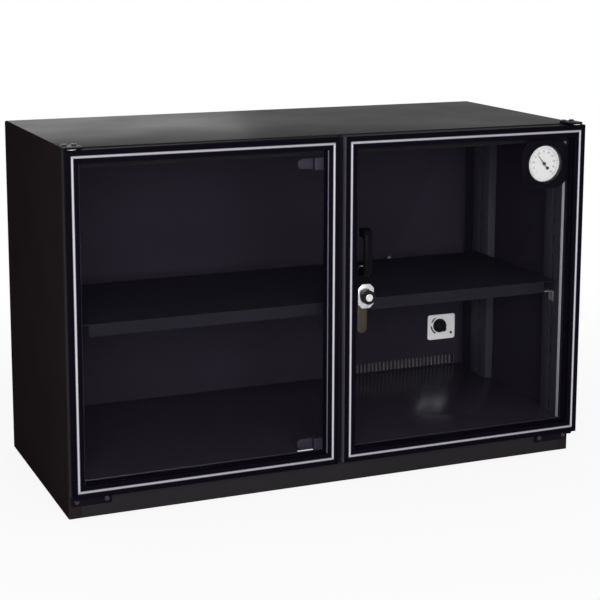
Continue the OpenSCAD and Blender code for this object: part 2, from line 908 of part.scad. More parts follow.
module right_door_frame() color(black_frame) in_frame() door_frame_shape();

module right_door_trim() color(bright_steel) in_frame() door_trim_shape();

module right_door_glass() color(clear_glass) in_frame() difference() {
    door_glass_shape();
    handle_screw_places() y_bar(0, 0, handle_screw_r + glass_hole_clear,
        glass_front_y - overrun, glass_back_y + overrun);
    y_bar(lock_x, lock_z, lock_body_r + glass_play, glass_front_y - overrun,
        glass_back_y + overrun);
}

module right_door_gasket() color(rubber_black) in_frame() door_gasket_shape();

module right_door_bushes() color(bright_steel) in_frame() door_bushes_shape();

// Latches of the left door

module fixing_places() {
    for (z = [upper_latch_z, lower_latch_z], level = [-1, 1])
        translate([-door_x0 - fixing_in, 0, z + level * fixing_spread]) children();
}

module latch_base_shape(z) {
    difference() {
        block(latch_x - latch_base_end, -door_x0 - latch_base_in, door_back_y, base_y1,
            z - latch_base_half, z + latch_base_half);
        y_bar(latch_x, z, latch_pin_r + seat_fit, base_y1 - latch_pin_in, base_y1 + overrun);
        fixing_places() y_bar(0, 0, fixing_r + seat_fit, door_back_y - overrun,
            base_y1 + overrun);
    }
}

// Round-ended lever that points left at rest
module latch_lever_shape(z) {
    xz_plate(lever_y0, lever_y1) translate([latch_x, z]) difference() {
        union() {
            circle(r = lever_r);
            translate([lever_r - lever_reach, 0]) circle(r = lever_r);
            translate([lever_r - lever_reach, -lever_r]) square([lever_reach - lever_r, lever_w]);
        }
        circle(r = latch_pin_r + run_fit);
    }
}

module latch_bases() color(black_plastic) in_frame() {
    latch_base_shape(upper_latch_z);
    latch_base_shape(lower_latch_z);
}

module latch_screws() color(bright_steel) in_frame() {
    for (z = [upper_latch_z, lower_latch_z]) {
        y_bar(latch_x, z, latch_pin_r, base_y1 - latch_pin_in, lever_y1 + pass_gap);
        y_bar(latch_x, z, latch_head_r, lever_y1 + pass_gap, lever_y1 + pass_gap + latch_head_h);
    }
    fixing_places() {
        y_bar(0, 0, fixing_r, door_back_y - fixing_depth, base_y1);
        y_bar(0, 0, fixing_head_r, base_y1, base_y1 + fixing_head_h);
    }
}

module upper_latch_lever() color(black_plastic) in_frame() latch_lever_shape(upper_latch_z);

module lower_latch_lever() color(black_plastic) in_frame() latch_lever_shape(lower_latch_z);

// Handle of the right door

module handle_screw_places() {
    for (level = [-1, 1])
        translate([handle_x, 0, handle_z + level * (handle_h / 2 - handle_screw_in)]) children();
}

// Bow handle seen from the side, ending flat on the glass
module handle_profile() {
    half = handle_h / 2;
    difference() {
        intersection() {
            union() {
                translate([handle_y + handle_outer_r, handle_z - half])
                    square([handle_out - handle_outer_r, handle_h]);
                translate([handle_y, handle_z - half + handle_outer_r])
                    square([handle_outer_r, handle_h - 2 * handle_outer_r]);
                for (level = [-1, 1])
                    translate([handle_y + handle_outer_r,
                            handle_z + level * (half - handle_outer_r)])
                        circle(r = handle_outer_r);
            }
            translate([handle_y, handle_z - half]) square([handle_out, handle_h]);
        }
        translate([handle_y + handle_bar + handle_inner_r, handle_z - half + handle_foot])
            square([handle_out, handle_h - 2 * handle_foot]);
        translate([handle_y + handle_bar, handle_z - half + handle_foot + handle_inner_r])
            square([handle_out, handle_h - 2 * handle_foot - 2 * handle_inner_r]);
        for (level = [-1, 1])
            translate([handle_y + handle_bar + handle_inner_r,
                    handle_z + level * (half - handle_foot - handle_inner_r)])
                circle(r = handle_inner_r);
    }
}

module pull_handle() color(black_plastic) in_frame() difference() {
    intersection() {
        yz_bar(handle_x - handle_w / 2, handle_x + handle_w / 2) handle_profile();
        translate([handle_x, 0, handle_z - handle_h / 2]) linear_extrude(handle_h) {
            translate([0, handle_y + handle_crown_r]) circle(r = handle_crown_r);
            translate([-handle_w / 2, handle_y + handle_crown_r])
                square([handle_w, handle_out]);
        }
    }
    handle_screw_places() y_bar(0, 0, handle_screw_r + seat_fit,
        glass_front_y - handle_screw_in, glass_front_y + overrun);
}

module handle_screws() color(bright_steel) in_frame() handle_screw_places() {
    y_bar(0, 0, handle_screw_r, glass_front_y - handle_screw_in, glass_back_y);
    y_bar(0, 0, handle_head_r, glass_back_y, glass_back_y + handle_head_h);
}

// Lock of the right door

module lock_barrel() color(black_plastic) in_frame() difference() {
    union() {
        y_bar(lock_x, lock_z, lock_face_r, lock_face_y, glass_front_y);
        y_bar(lock_x, lock_z, lock_body_r, glass_front_y, door_back_y);
    }
    y_bar(lock_x, lock_z, plug_r + run_fit, lock_face_y - overrun, door_back_y + overrun);
}

module lock_nut() color(bright_steel) in_frame() difference() {
    union() {
        xz_plate(glass_back_y, glass_back_y + nut_plate_t) translate([lock_x, lock_z])
            chamfered_square(nut_plate_w, nut_plate_h, nut_chamfer);
        translate([lock_x, glass_back_y + nut_plate_t, lock_z]) rotate([-90, 0, 0])
            cylinder(r = nut_hex_r, h = nut_hex_h, $fn = 6);
    }
    y_bar(lock_x, lock_z, lock_body_r + seat_fit, glass_back_y - overrun,
        glass_back_y + nut_plate_t + nut_hex_h + overrun);
}

module chamfered_square(w, h, c) {
    polygon([
        [c - w / 2, -h / 2], [w / 2 - c, -h / 2], [w / 2, c - h / 2], [w / 2, h / 2 - c],
        [w / 2 - c, h / 2], [c - w / 2, h / 2], [-w / 2, h / 2 - c], [-w / 2, c - h / 2]]);
}

module lock_plug() color(bright_steel) in_frame() difference() {
    union() {
        y_bar(lock_x, lock_z, plug_r, lock_face_y - plug_stand, cam_y0);
        y_bar(lock_x, lock_z, plug_neck_r, cam_y0, cam_y1);
    }
    block(lock_x - key_w / 2, lock_x + key_w / 2, lock_face_y - plug_stand - overrun,
        lock_face_y - plug_stand + key_d, lock_z - key_h / 2, lock_z + key_h / 2);
    y_bar(lock_x, lock_z, cam_shank_r + seat_fit, cam_y1 - cam_shank_len, cam_y1 + overrun);
}

// Flat brass cam that hangs down when the lock is open
module lock_cam() color([0.85, 0.78, 0.6]) in_frame()
    xz_plate(cam_y0, cam_y1) translate([lock_x, lock_z]) difference() {
        union() {
            circle(r = cam_w / 2);
            translate([-cam_w / 2, cam_w / 2 - cam_len]) square([cam_w, cam_len - cam_w / 2]);
            translate([0, cam_w / 2 - cam_len]) circle(r = cam_w / 2);
        }
        circle(r = plug_neck_r + seat_fit);
    }

module cam_screw() color(bright_steel) in_frame() {
    y_bar(lock_x, lock_z, cam_shank_r, cam_y1 - cam_shank_len, cam_y1);
    y_bar(lock_x, lock_z, cam_head_r, cam_y1, cam_y1 + cam_head_h);
}

// Hygrometer of the right door

module hygrometer_back_plate() color(black_plastic) in_frame()
    xz_plate(glass_back_y, dial_plate_y) translate([dial_x, dial_z]) difference() {
        rounded_square(dial_plate_w, dial_plate_h, dial_plate_r);
        circle(r = dial_r + lens_lap);
    }

// Cup with a ledge that carries the dial and a blind bearing for the needle's arbor
module hygrometer_housing() color(black_plastic) in_frame() difference() {
    y_bar(dial_x, dial_z, housing_r, dial_plate_y, housing_back_y);
    y_bar(dial_x, dial_z, dial_r + dial_play, dial_plate_y - overrun, dial_y + dial_t);
    y_bar(dial_x, dial_z, dial_r - dial_ledge, dial_plate_y - overrun,
        housing_back_y - housing_wall);
    y_bar(dial_x, dial_z, arbor_r + run_fit, dial_y, dial_y + arbor_len + pass_gap);
}

module hygrometer_dial() color(white_face) in_frame() difference() {
    y_bar(dial_x, dial_z, dial_r, dial_y, dial_y + dial_t);
    y_bar(dial_x, dial_z, arbor_r + run_fit, dial_y - overrun, dial_y + dial_t + overrun);
}

module hygrometer_lens() color(clear_glass) in_frame()
    y_bar(dial_x, dial_z, dial_r + lens_lap - dial_play, dial_plate_y - lens_t, dial_plate_y);

// Needle with its hub and arbor, turned to its resting direction
module hygrometer_needle() color(black_plastic) in_frame() {
    y1 = dial_y - needle_lift;
    y0 = y1 - needle_t;
    xz_plate(y0, y1) translate([dial_x, dial_z]) rotate(needle_angle) {
        polygon([[-needle_half_w, 0], [needle_half_w, 0], [0, needle_len]]);
        translate([-needle_half_w / 2, -needle_tail]) square([needle_half_w, needle_tail]);
        translate([0, -needle_tail]) circle(r = tail_r);
    }
    y_bar(dial_x, dial_z, hub_r, y1 - hub_t, y1);
    y_bar(dial_x, dial_z, arbor_r, y1, dial_y + arbor_len);
}

// Control plate on the back wall

module control_plate() color(white_face) in_frame() difference() {
    xz_plate(plate_y, inner_back_y) translate([plate_x, plate_z])
        rounded_square(plate_w, plate_h, plate_r);
    y_bar(knob_x, knob_z, stem_r + seat_fit, plate_y - overrun, inner_back_y + overrun);
    y_bar(lamp_x, lamp_z, lamp_r + seat_fit, plate_y - overrun, inner_back_y + overrun);
}

// Lamp that runs from the plate to the circuit board
module indicator_lamp() color(black_plastic) in_frame()
    y_bar(lamp_x, lamp_z, lamp_r, plate_y - lamp_stand, board_y);

module humidistat_body() color(black_plastic) in_frame() difference() {
    union() {
        block(knob_x - humidistat_w / 2, knob_x + humidistat_w / 2, body_d, board_y,
            knob_z - humidistat_w / 2, knob_z + humidistat_w / 2);
        y_bar(knob_x, knob_z, stem_r, plate_y, body_d);
    }
    y_bar(knob_x, knob_z, shaft_r + run_fit, plate_y - overrun,
        body_d + shaft_in_body + pass_gap);
}

module humidistat_shaft() color(bright_steel) in_frame()
    y_bar(knob_x, knob_z, shaft_r, plate_y - knob_gap - shaft_in_knob, body_d + shaft_in_body);

// Round knob with a raised grip bar
module control_knob() color(black_plastic) in_frame() difference() {
    union() {
        y_bar(knob_x, knob_z, knob_r, plate_y - knob_gap - knob_skirt_d, plate_y - knob_gap);
        y_bar(knob_x, knob_z, grip_r, knob_front_y + knob_skirt_d,
            plate_y - knob_gap - knob_skirt_d);
        intersection() {
            y_bar(knob_x, knob_z, grip_r, knob_front_y, plate_y - knob_gap - knob_skirt_d);
            translate([knob_x, 0, knob_z]) rotate([0, -knob_angle, 0])
                block(-grip_half_w, grip_half_w, knob_front_y, plate_y - knob_gap, -knob_r, knob_r);
        }
    }
    y_bar(knob_x, knob_z, shaft_r + seat_fit, plate_y - knob_gap - shaft_in_knob, plate_y);
}

module back_panel_plug() color(bright_steel) in_frame() {
    y_bar(plug_x, plug_z, plug_head_r, inner_back_y - plug_head_h, inner_back_y);
    y_bar(plug_x, plug_z, plug_hole_r, inner_back_y, body_d + plug_stem);
}

// Drying unit behind the back wall

// Slotted plate that slides sideways to close the vents, with its arm and plunger
module dryer_shutter() color(bright_steel) in_frame() {
    difference() {
        union() {
            block(shutter_x0, shutter_x1, shutter_y, shutter_y + shutter_t, shutter_z0,
                shutter_z1);
            block(arm_x, arm_x + arm_w, shutter_y, shutter_y + shutter_t, shutter_z1,
                coil_z + coil_w / 2);
        }
        for (i = [0 : vent_count - 1])
            translate([vent_x0 + i * vent_pitch - vent_w / 2, shutter_y - overrun, vent_z0])
                cube([vent_w, shutter_t + 2 * overrun, vent_h]);
    }
    block(arm_x, arm_x + arm_t, shutter_y + shutter_t, coil_y + coil_w / 4,
        coil_z - coil_w / 4, coil_z + coil_w / 2);
    x_bar(coil_y, coil_z, plunger_r, coil_x1 - plunger_in, arm_x);
}

// Case with guides above and below the shutter
module dryer_case() color(black_plastic) in_frame() {
    difference() {
        block(case_x0, case_x1, case_y0, case_y1, case_z0, case_z1);
        block(case_x0 + case_wall, case_x1 - case_wall, case_y0 - overrun,
            case_y1 - case_wall, case_z0 + case_wall, case_z1 - case_wall);
    }
    block(case_x0, case_x1, body_d, case_y0, case_z0, case_z0 + guide_h);
    difference() {
        block(case_x0 + case_wall, case_x1 - case_wall, body_d, case_y0 + guide_d,
            shutter_z1 + pass_gap, shutter_z1 + pass_gap + guide_t);
        block(arm_x - arm_notch_clear, arm_x + arm_w + shutter_travel + arm_notch_clear,
            body_d - overrun, case_y0, shutter_z1, shutter_z1 + pass_gap + guide_t + overrun);
    }
}

module desiccant_pack() color([0.75, 0.5, 0.35]) in_frame()
    block(case_x0 + case_wall + pack_side, case_x1 - case_wall - pack_side, pack_y0,
        pack_y0 + pack_d, case_z0 + case_wall, case_z1 - case_wall - pack_top);

module heater_plate() color(bright_steel) in_frame()
    block(case_x0 + heater_side, case_x1 - heater_side, pack_y0 + pack_d + heater_gap,
        pack_y0 + pack_d + heater_gap + heater_t, case_z0 + case_wall,
        case_z1 - case_wall - pack_top);

module shutter_solenoid() color([0.3, 0.3, 0.32]) in_frame() difference() {
    block(coil_x0, coil_x1, coil_y - coil_w / 2, coil_y + coil_w / 2, case_z1, case_z1 + coil_w);
    x_bar(coil_y, coil_z, plunger_r + run_fit, coil_x1 - plunger_in - overrun,
        coil_x1 + overrun);
}

// Board with a relay and two capacitors
module circuit_board() color([0.1, 0.35, 0.2]) in_frame() {
    rear = board_y + board_t;
    block(board_x0, board_x0 + board_w, board_y, rear, board_z0, board_z0 + board_h);
    block(board_x0 + relay_in, board_x0 + relay_in + relay_w, rear, rear + relay_d,
        board_z0 + relay_rise, board_z0 + relay_rise + relay_h);
    for (i = [1, 2])
        y_bar(board_x0 + board_w - can_pitch * i, board_z0 + can_rise, can_r, rear, rear + can_d);
}

module cover_screw_places() {
    step = (cover_x1 - cover_x0 - 2 * cover_flange) / (cover_screws - 1);
    for (i = [0 : cover_screws - 1], z = [cover_z0 - cover_flange / 2, cover_z1 + cover_flange / 2])
        translate([cover_x0 + cover_flange + i * step, 0, z]) children();
}

module rear_cover() color(black_steel) in_frame() difference() {
    union() {
        difference() {
            block(cover_x0, cover_x1, body_d, cover_y1, cover_z0, cover_z1);
            block(cover_x0 + cover_wall, cover_x1 - cover_wall, body_d - overrun,
                cover_y1 - cover_wall, cover_z0 + cover_wall, cover_z1 - cover_wall);
        }
        for (z = [cover_z0 - cover_flange, cover_z1])
            block(cover_x0, cover_x1, body_d, body_d + cover_wall, z, z + cover_flange);
    }
    cover_screw_places() y_bar(0, 0, cover_screw_r + seat_fit, body_d - overrun,
        body_d + cover_wall + overrun);
    for (i = [0 : louvre_count - 1])
        translate([louvre_x0 + i * (louvre_x1 - louvre_x0) / (louvre_count - 1),
                cover_y1 - cover_wall - overrun, cover_z0 + louvre_rise])
            cube([louvre_w, cover_wall + 2 * overrun, louvre_h]);
    block(inlet_x - inlet_w / 2, inlet_x + inlet_w / 2, cover_y1 - cover_wall - overrun,
        cover_y1 + overrun, inlet_z - inlet_h / 2, inlet_z + inlet_h / 2);
}

module rear_cover_screws() color(bright_steel) in_frame() cover_screw_places() {
    y_bar(0, 0, cover_screw_r, inner_back_y, body_d + cover_wall);
    y_bar(0, 0, cover_head_r, body_d + cover_wall, body_d + cover_wall + cover_head_h);
}

// Two-pole inlet with its flange outside the cover
module power_inlet() color(black_plastic) in_frame() {
    mouth_y = cover_y1 + inlet_flange_t;
    difference() {
        union() {
            block(inlet_x - inlet_w / 2, inlet_x + inlet_w / 2, cover_y1 - inlet_d, cover_y1,
                inlet_z - inlet_h / 2, inlet_z + inlet_h / 2);
            block(inlet_x - inlet_w / 2 - inlet_flange, inlet_x + inlet_w / 2 + inlet_flange,
                cover_y1, mouth_y, inlet_z - inlet_h / 2 - inlet_flange,
                inlet_z + inlet_h / 2 + inlet_flange);
        }
        xz_plate(mouth_y - socket_d, mouth_y + overrun) translate([inlet_x, inlet_z])
            rounded_square(socket_w, socket_h, socket_r);
    }
    for (side = [-1, 1])
        y_bar(inlet_x + side * inlet_pin_gap / 2, inlet_z, inlet_pin_r, mouth_y - socket_d,
            mouth_y - socket_d + inlet_pin_len);
}

top_panel();
left_side_panel();
right_side_panel();
back_panel();
floor_panel();
plinth_rail();
rear_base_rail();
left_front_upright();
left_rear_upright();
right_front_upright();
right_rear_upright();
shelf();
shelf_clips();
upper_left_hinge_plate();
upper_right_hinge_plate();
lower_left_hinge_bracket();
lower_right_hinge_bracket();
hinge_screws();
control_plate();
indicator_lamp();
humidistat_body();
dryer_case();
desiccant_pack();
heater_plate();
circuit_board();
shutter_solenoid();
rear_cover();
rear_cover_screws();
power_inlet();
back_panel_plug();
left_door_frame();
left_door_trim();
left_door_glass();
left_door_gasket();
centre_seal();
left_door_bushes();
latch_bases();
latch_screws();
upper_latch_lever();
lower_latch_lever();
right_door_frame();
right_door_trim();
right_door_glass();
right_door_gasket();
right_door_bushes();
pull_handle();
handle_screws();
lock_barrel();
lock_nut();
lock_plug();
lock_cam();
cam_screw();
hygrometer_back_plate();
hygrometer_housing();
hygrometer_dial();
hygrometer_lens();
hygrometer_needle();
control_knob();
humidistat_shaft();
dryer_shutter();
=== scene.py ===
# %% [markdown]
# # A camera dry cabinet
#
# The construction model gives every piece at its real place and size. This script gives the
# cabinet its looks: the finish of each surface, and the edges, ribs, recesses and printed scales
# that are too fine for a construction model. It starts by loading the fixed frame.

# %% Load the frame
import json
import math

import bpy
from mathutils import Matrix, Vector


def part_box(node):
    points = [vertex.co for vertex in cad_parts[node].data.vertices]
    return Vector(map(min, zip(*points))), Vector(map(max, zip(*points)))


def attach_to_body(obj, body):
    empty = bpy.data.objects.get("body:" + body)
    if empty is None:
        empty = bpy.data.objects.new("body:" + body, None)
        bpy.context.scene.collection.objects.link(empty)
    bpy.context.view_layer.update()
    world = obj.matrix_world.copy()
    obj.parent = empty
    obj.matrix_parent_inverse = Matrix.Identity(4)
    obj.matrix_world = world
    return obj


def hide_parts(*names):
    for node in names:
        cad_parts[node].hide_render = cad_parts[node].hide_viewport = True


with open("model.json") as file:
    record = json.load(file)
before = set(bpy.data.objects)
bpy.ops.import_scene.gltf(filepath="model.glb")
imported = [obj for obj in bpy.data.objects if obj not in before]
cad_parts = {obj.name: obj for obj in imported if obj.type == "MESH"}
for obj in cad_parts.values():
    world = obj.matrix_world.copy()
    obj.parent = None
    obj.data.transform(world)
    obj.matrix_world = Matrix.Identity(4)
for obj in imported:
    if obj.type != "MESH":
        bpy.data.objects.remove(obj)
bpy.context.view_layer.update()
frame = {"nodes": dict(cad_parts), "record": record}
nodes = frame["nodes"]
record = frame["record"]
body_of_node = {n: b for b, names in record["behaviour"]["bodies"].items() for n in names}
slot_of_node = {s["node"]: s["material_slot"] for s in record["subparts"]}
MM = 0.001

# %% [markdown]
# ## Camera
#
# The view was worked out from the corners of the steel body and of the two bright inlay lines.
# The camera stands to the left and a little above, with a long lens, and its sensor is shifted
# because the photograph is a crop of a larger picture.

# %% Camera
CAMERA_PLACE = Vector((-1.0143, -2.4446, 0.8867))
CAMERA_TURN = math.radians(22.861)
CAMERA_DIP = math.radians(9.484)
CAMERA_ROLL = math.radians(0.141)
CAMERA_LENS = 93.47
SENSOR_W = 36
FAR_PLANE = 60
SHIFT_PIXELS = 100
PHOTO_PIXELS = 600


def add_camera():
    bpy.ops.object.camera_add(location=CAMERA_PLACE)
    camera = bpy.context.object
    camera.name = "photo_camera"
    turn = Matrix.Rotation(-CAMERA_TURN, 4, "Z")
    dip = Matrix.Rotation(math.pi / 2 - CAMERA_DIP, 4, "X")
    roll = Matrix.Rotation(CAMERA_ROLL, 4, "Z")
    camera.matrix_world = Matrix.Translation(CAMERA_PLACE) @ turn @ dip @ roll
    camera.data.lens = CAMERA_LENS
    camera.data.sensor_width = SENSOR_W
    camera.data.shift_y = -SHIFT_PIXELS / PHOTO_PIXELS
    camera.data.clip_end = FAR_PLANE
    bpy.context.scene.camera = camera
    return camera


camera = add_camera()
place = tuple(round(v, 3) for v in camera.location)
print("camera at", place, "lens", round(camera.data.lens, 1))

# %% [markdown]
# ## Writing a finish as sums
#
# A material in Blender is a web of nodes. Written by hand it soon hides what it means, so two small
# classes help. `Number` wraps one socket and lets Python's + - * / add Math nodes, so that a mask
# reads like arithmetic. `Finish` owns one material, adds any other node, and sets the shader.

# %% Number and Finish
MIX_FACTOR, MIX_A, MIX_B = 0, 6, 7
MIX_COLOUR_OUT = 2


class Number:
    """A socket that Python can do sums with."""

    def __init__(self, finish, socket):
        self.finish = finish
        self.socket = socket

    def math(self, operation, *others):
        inputs = dict(enumerate((self, *others)))
        return self.finish.node("ShaderNodeMath", {"operation": operation}, inputs)

    def __add__(self, other):
        return self.math("ADD", other)

    def __radd__(self, other):
        return self.math("ADD", other)

    def __mul__(self, other):
        return self.math("MULTIPLY", other)

    def __rmul__(self, other):
        return self.math("MULTIPLY", other)

    def __sub__(self, other):
        return self.math("SUBTRACT", other)

    def __rsub__(self, other):
        return self.finish.node("ShaderNodeMath", {"operation": "SUBTRACT"}, {0: other, 1: self})

    def __truediv__(self, other):
        return self.math("DIVIDE", other)

    def __lt__(self, other):
        return self.math("LESS_THAN", other)

    def __gt__(self, other):
        return self.math("GREATER_THAN", other)

    def size(self):
        return self.math("ABSOLUTE")

    def least(self, other):
        return self.math("MINIMUM", other)

    def most(self, other):
        return self.math("MAXIMUM", other)


class Finish:
    """One material, built up from the shader that Blender gives it."""

    def __init__(self, name, **shader):
        self.material = bpy.data.materials.new(name)
        self.material.use_nodes = True
        self.tree = self.material.node_tree
        self.shader = self.tree.nodes["Principled BSDF"]
        self.coordinates = self.tree.nodes.new("ShaderNodeTexCoord")
        self.place = Number(self, self.coordinates.outputs["Object"])
        self.set(**shader)

    def node(self, kind, settings=None, inputs=None, output=0):
        made = self.tree.nodes.new(kind)
        for key, value in (settings or {}).items():
            setattr(made, key, value)
        for key, value in (inputs or {}).items():
            self.feed(made.inputs[key], value)
        return Number(self, made.outputs[output])

    def feed(self, socket, value):
        if isinstance(value, Number):
            self.tree.links.new(value.socket, socket)
        else:
            socket.default_value = value

    def set(self, **shader):
        for key, value in shader.items():
            name = key.replace("_", " ").title().replace("Ior", "IOR")
            if isinstance(value, tuple) and len(value) == 3:
                value = (*value, 1.0)
            self.feed(self.shader.inputs[name], value)
        return self

    def axes(self):
        split = self.tree.nodes.new("ShaderNodeSeparateXYZ")
        self.feed(split.inputs[0], self.place)
        return [Number(self, split.outputs[i]) for i in range(3)]

    def stretched(self, x, y, z):
        return self.node("ShaderNodeVectorMath", {"operation": "MULTIPLY"},
                         {0: self.place, 1: (x, y, z)})

    def noise(self, scale, detail=2.0, where=None):
        return self.node("ShaderNodeTexNoise", {},
                         {"Vector": where or self.place, "Scale": scale, "Detail": detail})

    def colour(self, mask, a, b):
        made = self.tree.nodes.new("ShaderNodeMix")
        made.data_type = "RGBA"
        for index, value in ((MIX_FACTOR, mask), (MIX_A, a), (MIX_B, b)):
            if isinstance(value, tuple):
                value = (*value, 1.0)
            self.feed(made.inputs[index], value)
        return Number(self, made.outputs[MIX_COLOUR_OUT])

    def scaled(self, brightness, base):
        """The base colour with its brightness times a number."""
        return self.node("ShaderNodeHueSaturation", {}, {"Value": brightness, "Color": base})

    def light_path(self, ray):
        return self.node("ShaderNodeLightPath", output=ray)

    def cover(self, mask, shader):
        """Lays another shader over this one where the mask is 1."""
        mixed = self.node("ShaderNodeMixShader", {},
                          {0: mask, 1: Number(self, self.shader.outputs[0]), 2: shader})
        self.feed(self.tree.nodes["Material Output"].inputs["Surface"], mixed)

    def bump(self, height, distance, strength=1.0):
        normal = self.node("ShaderNodeBump", {},
                           {"Strength": strength, "Distance": distance, "Height": height})
        return self.set(normal=normal)


print("finish helpers ready")

# %% [markdown]
# ## Painted steel
#
# The body is folded sheet steel with a satin black powder coat. Powder flows into a very fine
# orange peel, so the finish has a bump less than a tenth of a millimetre deep, with a slow mottling
# in its gloss. Outside, the black is a little warm; inside, the same black is given a cooler,
# lighter colour: painted light for the daylight that reaches it through the glass. The inside is
# told apart by its place in the body's box. The floor and the uprights inside are painted lighter
# still and the shelf's top darker, and the shelf's front edge lighter than its top: painted light
# and shade on the same black.

# %% Painted steel
BODY_LOW, BODY_HIGH = (Vector(v) for v in zip(*[
    (min(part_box("left_side_panel")[0][i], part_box("top_panel")[0][i]),
     max(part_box("right_side_panel")[1][i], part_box("top_panel")[1][i])) for i in range(3)]))
SHELF_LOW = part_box("shelf")[0]
SKIN = 0.6 * MM
MOTTLE_SCALE = 9.0
PEEL_SCALE = 1400.0
PEEL_DEPTH = 0.02 * MM
LIP_X = 430 * MM
LIP_HALF = 0.1 * MM
LIP_FRONT = 1.5 * MM
LIP_BACK = 9.6 * MM
WARM_BLACK = (0.0150, 0.0112, 0.0118)
INSIDE_PAINTED_LIGHT = (0.0185, 0.0155, 0.0235)
TOP_BLACK = (0.010, 0.010, 0.010)
PLINTH_BLACK = (0.0165, 0.0150, 0.0165)
# Painted light and shade: the floor and the uprights are painted lighter than the inside black, and
# the shelf darker, for the light that falls on each.
FLOOR_PAINTED_LIGHT = (0.0260, 0.0220, 0.0310)
SHELF_PAINTED_SHADE = (0.0105, 0.0098, 0.0135)
SHELF_EDGE_PAINTED_LIGHT = (0.0115, 0.0105, 0.0155)
UPRIGHT_PAINTED_LIGHT = (0.030, 0.028, 0.038)
HINGE_BLACK = (0.0040, 0.0036, 0.0052)
LIP_PAINTED_HIGHLIGHT = (0.55, 0.54, 0.60)


def inside_mask(finish):
    """1 on every face that looks into the body."""
    x, y, z = finish.axes()
    mask = x.size() < BODY_HIGH.x - SKIN
    for limit in ((y > BODY_LOW.y + SKIN), (y < BODY_HIGH.y - SKIN), (z < BODY_HIGH.z - SKIN)):
        mask = mask * limit
    return mask


def steel_paint(name, outside, inside, gloss, roughness, patch=None):
    """Powder coat; patch is a function that gives one more mask and the colour it takes."""
    finish = Finish(name, specular_ior_level=gloss)
    # Faces inside the body take the inside colour; where it differs from the outside one it is
    # painted light.
    base = finish.colour(inside_mask(finish), outside, inside)
    if patch:
        mask, colour = patch(finish)
        base = finish.colour(mask, base, colour)
    mottle = finish.noise(MOTTLE_SCALE, 3.0)
    peel = finish.noise(PEEL_SCALE, 2.0)
    lighter = finish.scaled(0.85 + 0.3 * mottle, base)
    finish.set(base_color=lighter, roughness=roughness - 0.06 + 0.12 * mottle)
    return finish.bump(peel, PEEL_DEPTH, 0.4).material


def lip_mask(finish):
    """A painted highlight: a light grey strip on the side flange's lip, which the magnetic gasket
    grips.
    """
    x, y, z = finish.axes()
    across = (x.size() - LIP_X).size() < LIP_HALF
    return across * (y > BODY_LOW.y + LIP_FRONT) * (y < BODY_LOW.y + LIP_BACK), LIP_PAINTED_HIGHLIGHT


def shelf_front_mask(finish):
    """The front face of the shelf's folded edge, painted lighter than the shelf's top as painted
    light.
    """
    x, y, z = finish.axes()
    return y < SHELF_LOW.y + MM, SHELF_EDGE_PAINTED_LIGHT


body_paint = steel_paint("body_paint", WARM_BLACK, INSIDE_PAINTED_LIGHT, 0.0, 0.6, lip_mask)
top_paint = steel_paint("top_paint", TOP_BLACK, INSIDE_PAINTED_LIGHT, 0.004, 0.36)
plinth_paint = steel_paint("plinth_paint", PLINTH_BLACK, PLINTH_BLACK, 0.0, 0.6)
floor_paint = steel_paint("floor_paint", FLOOR_PAINTED_LIGHT, FLOOR_PAINTED_LIGHT, 0.4, 0.24)
shelf_paint = steel_paint("shelf_paint", INSIDE_PAINTED_LIGHT, SHELF_PAINTED_SHADE, 0.05, 0.4, shelf_front_mask)
upright_paint = steel_paint("upright_paint", UPRIGHT_PAINTED_LIGHT, UPRIGHT_PAINTED_LIGHT, 0.03, 0.45)
hinge_paint = steel_paint("hinge_paint", HINGE_BLACK, HINGE_BLACK, 0.02, 0.4)
print("painted steel: body, top, plinth, floor, shelf, upright and hinge finishes")

# %% [markdown]
# ## Lights and stage
#
# The photograph is a cut-out on white, so the world is white for the camera, for mirror rays and
# for rays through glass, and much weaker for everything else: a white that lit the cabinet would
# wash its blacks out. Two broad soft boxes light it, one in front and one behind that skims the
# top. The floor turns white for the camera away from the cabinet, and keeps its shadow near it.

# %% World, lamps and floor
WORLD_FILL = 0.4
SHADOW_R = 0.5
WHITE_R = 1.6
SHADOW_WHITE = 0.88
FLOOR_W = 24


def white_world():
    """White where it is seen, and WORLD_FILL where it only lights."""
    world = bpy.data.worlds.new("white_studio")
    world.use_nodes = True
    bpy.context.scene.world = world
    tree = world.node_tree
    background = tree.nodes["Background"]
    background.inputs["Color"].default_value = (1, 1, 1, 1)
    path = tree.nodes.new("ShaderNodeLightPath")
    seen = path.outputs["Is Camera Ray"]
    for name in ("Is Glossy Ray", "Is Transmission Ray"):
        either = tree.nodes.new("ShaderNodeMath")
        either.operation = "MAXIMUM"
        tree.links.new(seen, either.inputs[0])
        tree.links.new(path.outputs[name], either.inputs[1])
        seen = either.outputs[0]
    strength = tree.nodes.new("ShaderNodeMapRange")
    strength.inputs["To Min"].default_value = WORLD_FILL
    strength.inputs["To Max"].default_value = 1.0
    tree.links.new(seen, strength.inputs["Value"])
    tree.links.new(strength.outputs[0], background.inputs["Strength"])


def soft_box(name, place, aim, width, height, watts):
    bpy.ops.object.light_add(type="AREA", location=place)
    lamp = bpy.context.object
    lamp.name = name
    lamp.data.shape = "RECTANGLE"
    lamp.data.size = width
    lamp.data.size_y = height
    lamp.data.energy = watts
    lamp.visible_camera = False
    lamp.rotation_euler = (Vector(aim) - Vector(place)).to_track_quat("-Z", "Y").to_euler()
    return lamp


white_world()
soft_box("front_box", (-0.8, -3.0, 0.95), (0, 0, 0.25), 2.2, 1.2, 105)
soft_box("back_box", (0.1, 3.2, 1.0), (-0.25, 0, 0.58), 1.9, 1.1, 10.5)
bpy.context.scene.view_settings.view_transform = "Standard"


